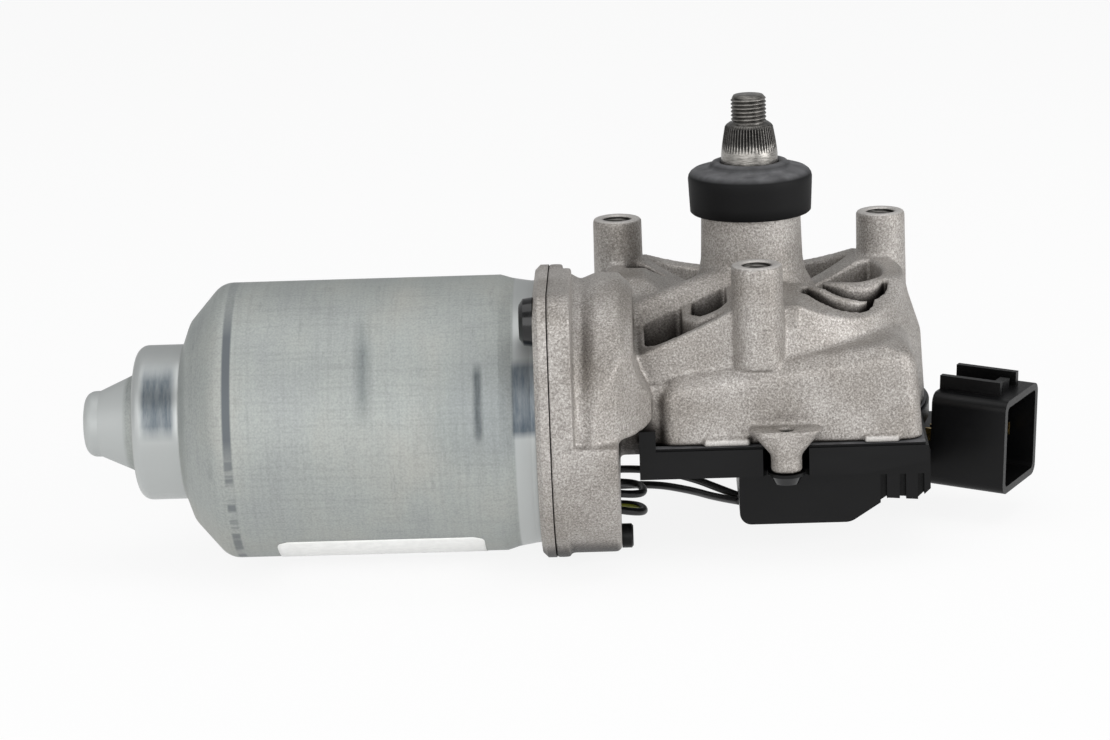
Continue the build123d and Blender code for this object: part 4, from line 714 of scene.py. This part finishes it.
def spindle(material):
    """The output shaft with its serrated taper and rolled thread, as one turned surface."""
    # eight points across each serration
    columns = SERRATIONS * 8
    rows = spindle_rows()
    vertices, darkness = [], []
    for radius, z, kind in rows:
        for column in range(columns):
            skin, dark = spindle_point(radius, z, kind, column / columns)
            vertices.append(turned_point(skin, column / columns, z))
            darkness.append(dark)
    piece = mesh_object("spindle", vertices, ring_faces(len(rows), columns))
    set_hollows(piece, darkness)
    weld(piece)
    return finish_piece(piece, "output", "shaft_steel", material, "output_shaft")


# ---------------------------------------------------------------- threads in the posts

POST_THREAD_PITCH, POST_THREAD_DEPTH, POST_THREAD_TOP = 1.0, 0.5, -0.5
# rows of points down a thread, and those over which it deepens from nothing
POST_THREAD_ROWS, POST_THREAD_START_ROWS = 64, 8


def post_thread(index, material):
    """Tapped thread in a mounting post: crests stand inwards in a helix. Its dark finish is painted shade in
    the bore.
    """
    columns, rows = 40, POST_THREAD_ROWS
    length = POST_BORE_DEPTH + POST_THREAD_TOP - 0.2
    vertices, darkness = [], []
    for row in range(rows + 1):
        z = POST_THREAD_TOP - length * row / rows
        for column in range(columns):
            groove = abs(2 * ((z / POST_THREAD_PITCH - column / columns) % 1.0) - 1)
            depth = POST_THREAD_DEPTH * min(1.0, row / POST_THREAD_START_ROWS)
            radius = POST_BORE_R - depth * (1 - groove)
            vertices.append(turned_point(radius, column / columns, z, post_place(index)))
            # painted shade in the bore: most of the thread is dark, its grooves darkest
            darkness.append(0.45 + 0.5 * groove)
    # seen from inside, so each face is turned over
    faces = [(p, s, r, q) for p, q, r, s in ring_faces(rows + 1, columns)]
    floor = rows * columns
    faces.append(tuple(reversed(range(floor, floor + columns))))
    piece = mesh_object("post_thread_%d" % (index + 1), vertices, faces)
    set_hollows(piece, darkness)
    return finish_piece(piece, "housing", "cast_aluminium", material)


# ---------------------------------------------------------------- leads

LEAD_RADIUS = 0.875
LEAD_BLACK = [(-41.0, -20.4, -53.6), (-26.0, -20.4, -56.6), (-26.0, -8.6, -56.2),
              (-37.4, -8.6, -55.8), (-37.4, 3.2, -56.2), (-24.0, 3.2, -56.4),
              (-14.5, -4.4, -56.8), (-8.5, -13.0, -57.0), (-4.2, -19.4, -57.0)]
LEAD_STRIPED = [(-41.0, -20.4, -57.0), (-26.0, -20.4, -60.6), (-26.0, -8.6, -61.4),
                (-37.4, -8.6, -60.8), (-37.4, 3.2, -60.4), (-24.0, 3.2, -60.0),
                (-15.2, -5.0, -59.4), (-9.4, -15.0, -58.4), (-4.2, -22.2, -57.3)]
# how far the striped lead's seam is turned, so that its stripe shows
STRIPE_TURN = math.radians(150)


def lead_line(name, route):
    """Points along the smooth line of a lead."""
    curve = bpy.data.curves.new(name, "CURVE")
    curve.dimensions = "3D"
    curve.resolution_u = 16
    spline = curve.splines.new("NURBS")
    spline.points.add(len(route) - 1)
    for point, (x, y, z) in zip(spline.points, route):
        point.co = (x * MM, y * MM, z * MM, 1)
    spline.order_u = 3
    spline.use_endpoint_u = True
    holder = bpy.data.objects.new(name, curve)
    scene.collection.objects.link(holder)
    line = bpy.data.meshes.new_from_object(holder.evaluated_get(bpy.context.evaluated_depsgraph_get()))
    points = [v.co.copy() for v in line.vertices]
    bpy.data.objects.remove(holder)
    return points


def lead(name, route, node, material, turn):
    """A round lead with a lengthwise seam for its stripe."""
    points = lead_line(name + "_line", route)
    sides = 20
    vertices = []
    across = None
    for index, point in enumerate(points):
        ahead = points[min(index + 1, len(points) - 1)] - points[max(index - 1, 0)]
        ahead.normalize()
        across = Vector((0, 0, 1)).cross(ahead) if across is None else across
        across = (across - ahead * across.dot(ahead)).normalized()
        upward = ahead.cross(across)
        for side in range(sides):
            angle = 2 * math.pi * side / sides + turn
            vertices.append(point + (across * math.cos(angle) + upward * math.sin(angle)) * LEAD_RADIUS * MM)
    last = (len(points) - 1) * sides
    faces = ring_faces(len(points), sides)
    faces += [tuple(reversed(range(sides))), tuple(range(last, last + sides))]
    piece = mesh_object(name, vertices, faces)
    seam = piece.data.uv_layers.new(name="tube")
    for polygon in piece.data.polygons[:last]:
        row, side = divmod(polygon.index, sides)
        for corner, (u, v) in zip(polygon.loop_indices, ((0, 0), (0, 1), (1, 1), (1, 0))):
            seam.data[corner].uv = (row + u, (side + v) / sides)
    finish_piece(piece, "housing", "lead_insulation", material, node)
    return piece


# ---------------------------------------------------------------- label

LABEL_LEFT, LABEL_RIGHT, LABEL_CORNER_R = -105.8, -60.6, 2.4
LABEL_TOP_ANGLE, LABEL_BOTTOM_ANGLE = -47.0, -85.0
FILM_THICKNESS, FILM_LIFT = 0.07, 0.08


def bare_label(material):
    """A blank film label with rounded corners, wrapped round the low front of the can."""
    columns, rows = 48, 24
    arc = math.radians(LABEL_TOP_ANGLE - LABEL_BOTTOM_ANGLE) * CAN_R
    radius = CAN_R + FILM_LIFT
    vertices, faces = [], []
    for row in range(rows + 1):
        down = arc * row / rows
        into_corner = max(LABEL_CORNER_R - min(down, arc - down), 0)
        inset = LABEL_CORNER_R - math.sqrt(max(LABEL_CORNER_R ** 2 - into_corner ** 2, 0))
        angle = math.radians(LABEL_TOP_ANGLE) - down / CAN_R
        y = MOTOR_Y - radius * math.cos(angle)
        z = MOTOR_Z + radius * math.sin(angle)
        for column in range(columns + 1):
            x = LABEL_LEFT + inset + (LABEL_RIGHT - LABEL_LEFT - 2 * inset) * column / columns
            vertices.append((x * MM, y * MM, z * MM))
    for row in range(rows):
        for column in range(columns):
            a = row * (columns + 1) + column
            faces.append((a, a + 1, a + columns + 2, a + columns + 1))
    piece = mesh_object("bare_label", vertices, faces)
    film = piece.modifiers.new("film", "SOLIDIFY")
    film.thickness, film.offset = FILM_THICKNESS * MM, 0.0
    return finish_piece(piece, "housing", "zinc_steel", material)


# ---------------------------------------------------------------- stage and light, in metres

FLOOR_REACH, FLOOR_GAP = 3.0, 0.0002
# how much of the floor's whiteness is its own, so that the rest keeps the shadow
FLOOR_GLOW = 0.88
# brightness of the room's own light
ROOM_LIGHT = 0.5
# soft boxes: name, place, aim, width and height, and power in watts
SOFT_BOXES = (
    ("front_box", (-0.25, -1.3, 0.30), (0, 0, -0.03), (1.6, 1.0), 10.4),
    ("top_box", (0.0, -0.1, 1.1), (0, 0, -0.03), (1.3, 0.9), 4.8),
    ("right_box", (1.0, -0.5, 0.25), (0, 0, -0.03), (0.6, 0.8), 8),
    ("left_box", (-1.1, -0.55, 0.30), (-0.13, -0.03, -0.03), (0.5, 0.9), 1.6),
)


def add_stage():
    """Pale sweep that the object lies on, seen as white."""
    reach, floor_z = FLOOR_REACH, cad_box[0][2] - FLOOR_GAP
    corners = [(-reach, -reach, floor_z), (reach, -reach, floor_z), (reach, reach, floor_z),
               (-reach, reach, floor_z)]
    mesh = bpy.data.meshes.new("floor")
    mesh.from_pydata(corners, [], [(0, 1, 2, 3)])
    floor = link_mesh("floor", mesh)
    made = bpy.data.materials.new("white_sweep")
    made.use_nodes = True
    tree = made.node_tree
    tree.nodes.clear()
    by_camera, by_gloss = (add_node(tree, "LightPath", output=ray)
                           for ray in ("Is Camera Ray", "Is Glossy Ray"))
    seen = add_node(tree, "Math", {0: by_camera, 1: by_gloss}, operation="MAXIMUM")
    share = add_node(tree, "Math", {0: seen, 1: FLOOR_GLOW}, operation="MULTIPLY")
    paper = add_node(tree, "BsdfDiffuse", {"Color": linear("#f4f4f4")})
    glow = add_node(tree, "Emission", {"Color": linear("#ffffff"), "Strength": 1.0})
    mixed = add_node(tree, "MixShader", {0: share, 1: paper, 2: glow})
    add_node(tree, "OutputMaterial", {"Surface": mixed})
    mesh.materials.append(made)


def add_soft_box(name, at, target, size, power):
    """Rectangular lamp that faces its target."""
    lamp = bpy.data.lights.new(name, "AREA")
    lamp.shape, lamp.energy = "RECTANGLE", power
    lamp.size, lamp.size_y = size
    made = bpy.data.objects.new(name, lamp)
    made.location = at
    made.rotation_euler = (Vector(target) - Vector(at)).to_track_quat("-Z", "Y").to_euler()
    scene.collection.objects.link(made)


def add_world():
    """Soft white room, seen as white."""
    world = bpy.data.worlds.new("studio")
    scene.world = world
    world.use_nodes = True
    tree = world.node_tree
    tree.nodes.clear()
    by_camera, through = (add_node(tree, "LightPath", output=ray)
                          for ray in ("Is Camera Ray", "Is Transmission Ray"))
    seen = add_node(tree, "Math", {0: by_camera, 1: through}, operation="MAXIMUM")
    lit = add_node(tree, "Background", {"Color": linear("#e8e9ea"), "Strength": ROOM_LIGHT})
    shown = add_node(tree, "Background", {"Color": linear("#ffffff"), "Strength": 1.0})
    mixed = add_node(tree, "MixShader", {0: seen, 1: lit, 2: shown})
    add_node(tree, "OutputWorld", {"Surface": mixed})


# ---------------------------------------------------------------- build

add_camera()

# the finish of each slot in the record
finishes = {
    "cast_aluminium": die_cast_aluminium(),
    "zinc_steel": zinc_plated_steel(),
    "black_plastic": moulded_nylon(),
    "cap_rubber": epdm_rubber(),
    "black_screws": black_plated_steel(),
    "shaft_steel": phosphated_steel(),
    "sintered_bronze": plain_metal("sintered_bronze", "#6e5836", "#92784c", 0.5, 0.3),
    "spring_steel": plain_metal("spring_steel", "#8a8a88", "#b4b4b2", 0.28, 0.8),
    "ground_steel": plain_metal("ground_steel", "#8f8f8e", "#bdbdbb", 0.2, 0.3, stretch=(1, 8, 8)),
    "lamination_steel": plain_metal("blued_laminations", "#2c3036", "#474c54", 0.45, 0.5,
                                    stretch=(1, 20, 20)),
    "copper": plain_metal("enamelled_copper", "#9a5430", "#c77c4c", 0.3, 0.7),
    "brass": plain_metal("brass_strip", "#a98a45", "#cdb069", 0.3, 0.8),
    "ferrite": plain_metal("sintered_ferrite", "#1c1c1e", "#303033", 0.6, 0.5, metallic=0.1),
    "carbon": plain_metal("carbon_graphite", "#121212", "#242424", 0.55, 0.4, metallic=0.2),
    "natural_plastic": acetal_resin(),
    "lead_insulation": pvc_insulation(False),
}
for part in frame["record"]["subparts"]:
    for material_slot in nodes[part["node"]].material_slots:
        material_slot.material = finishes[part["material_slot"]]

lead("lead_black_tube", LEAD_BLACK, "lead_black", finishes["lead_insulation"], 0.0)
lead("lead_striped_tube", LEAD_STRIPED, "lead_striped", pvc_insulation(True), STRIPE_TURN)
cast_housing(finishes["cast_aluminium"])
spindle(finishes["shaft_steel"])
# the post threads take the dark shaft finish as painted shade in their bores
for post in range(POST_COUNT):
    post_thread(post, finishes["shaft_steel"])
bare_label(polyester_label())
rubber_cap(finishes["cap_rubber"])
for node_name, edge_width in EDGE_WIDTHS.items():
    soften_edges(node_name, edge_width)

add_stage()
for soft_box in SOFT_BOXES:
    add_soft_box(*soft_box)
add_world()
scene.view_settings.view_transform = "Standard"
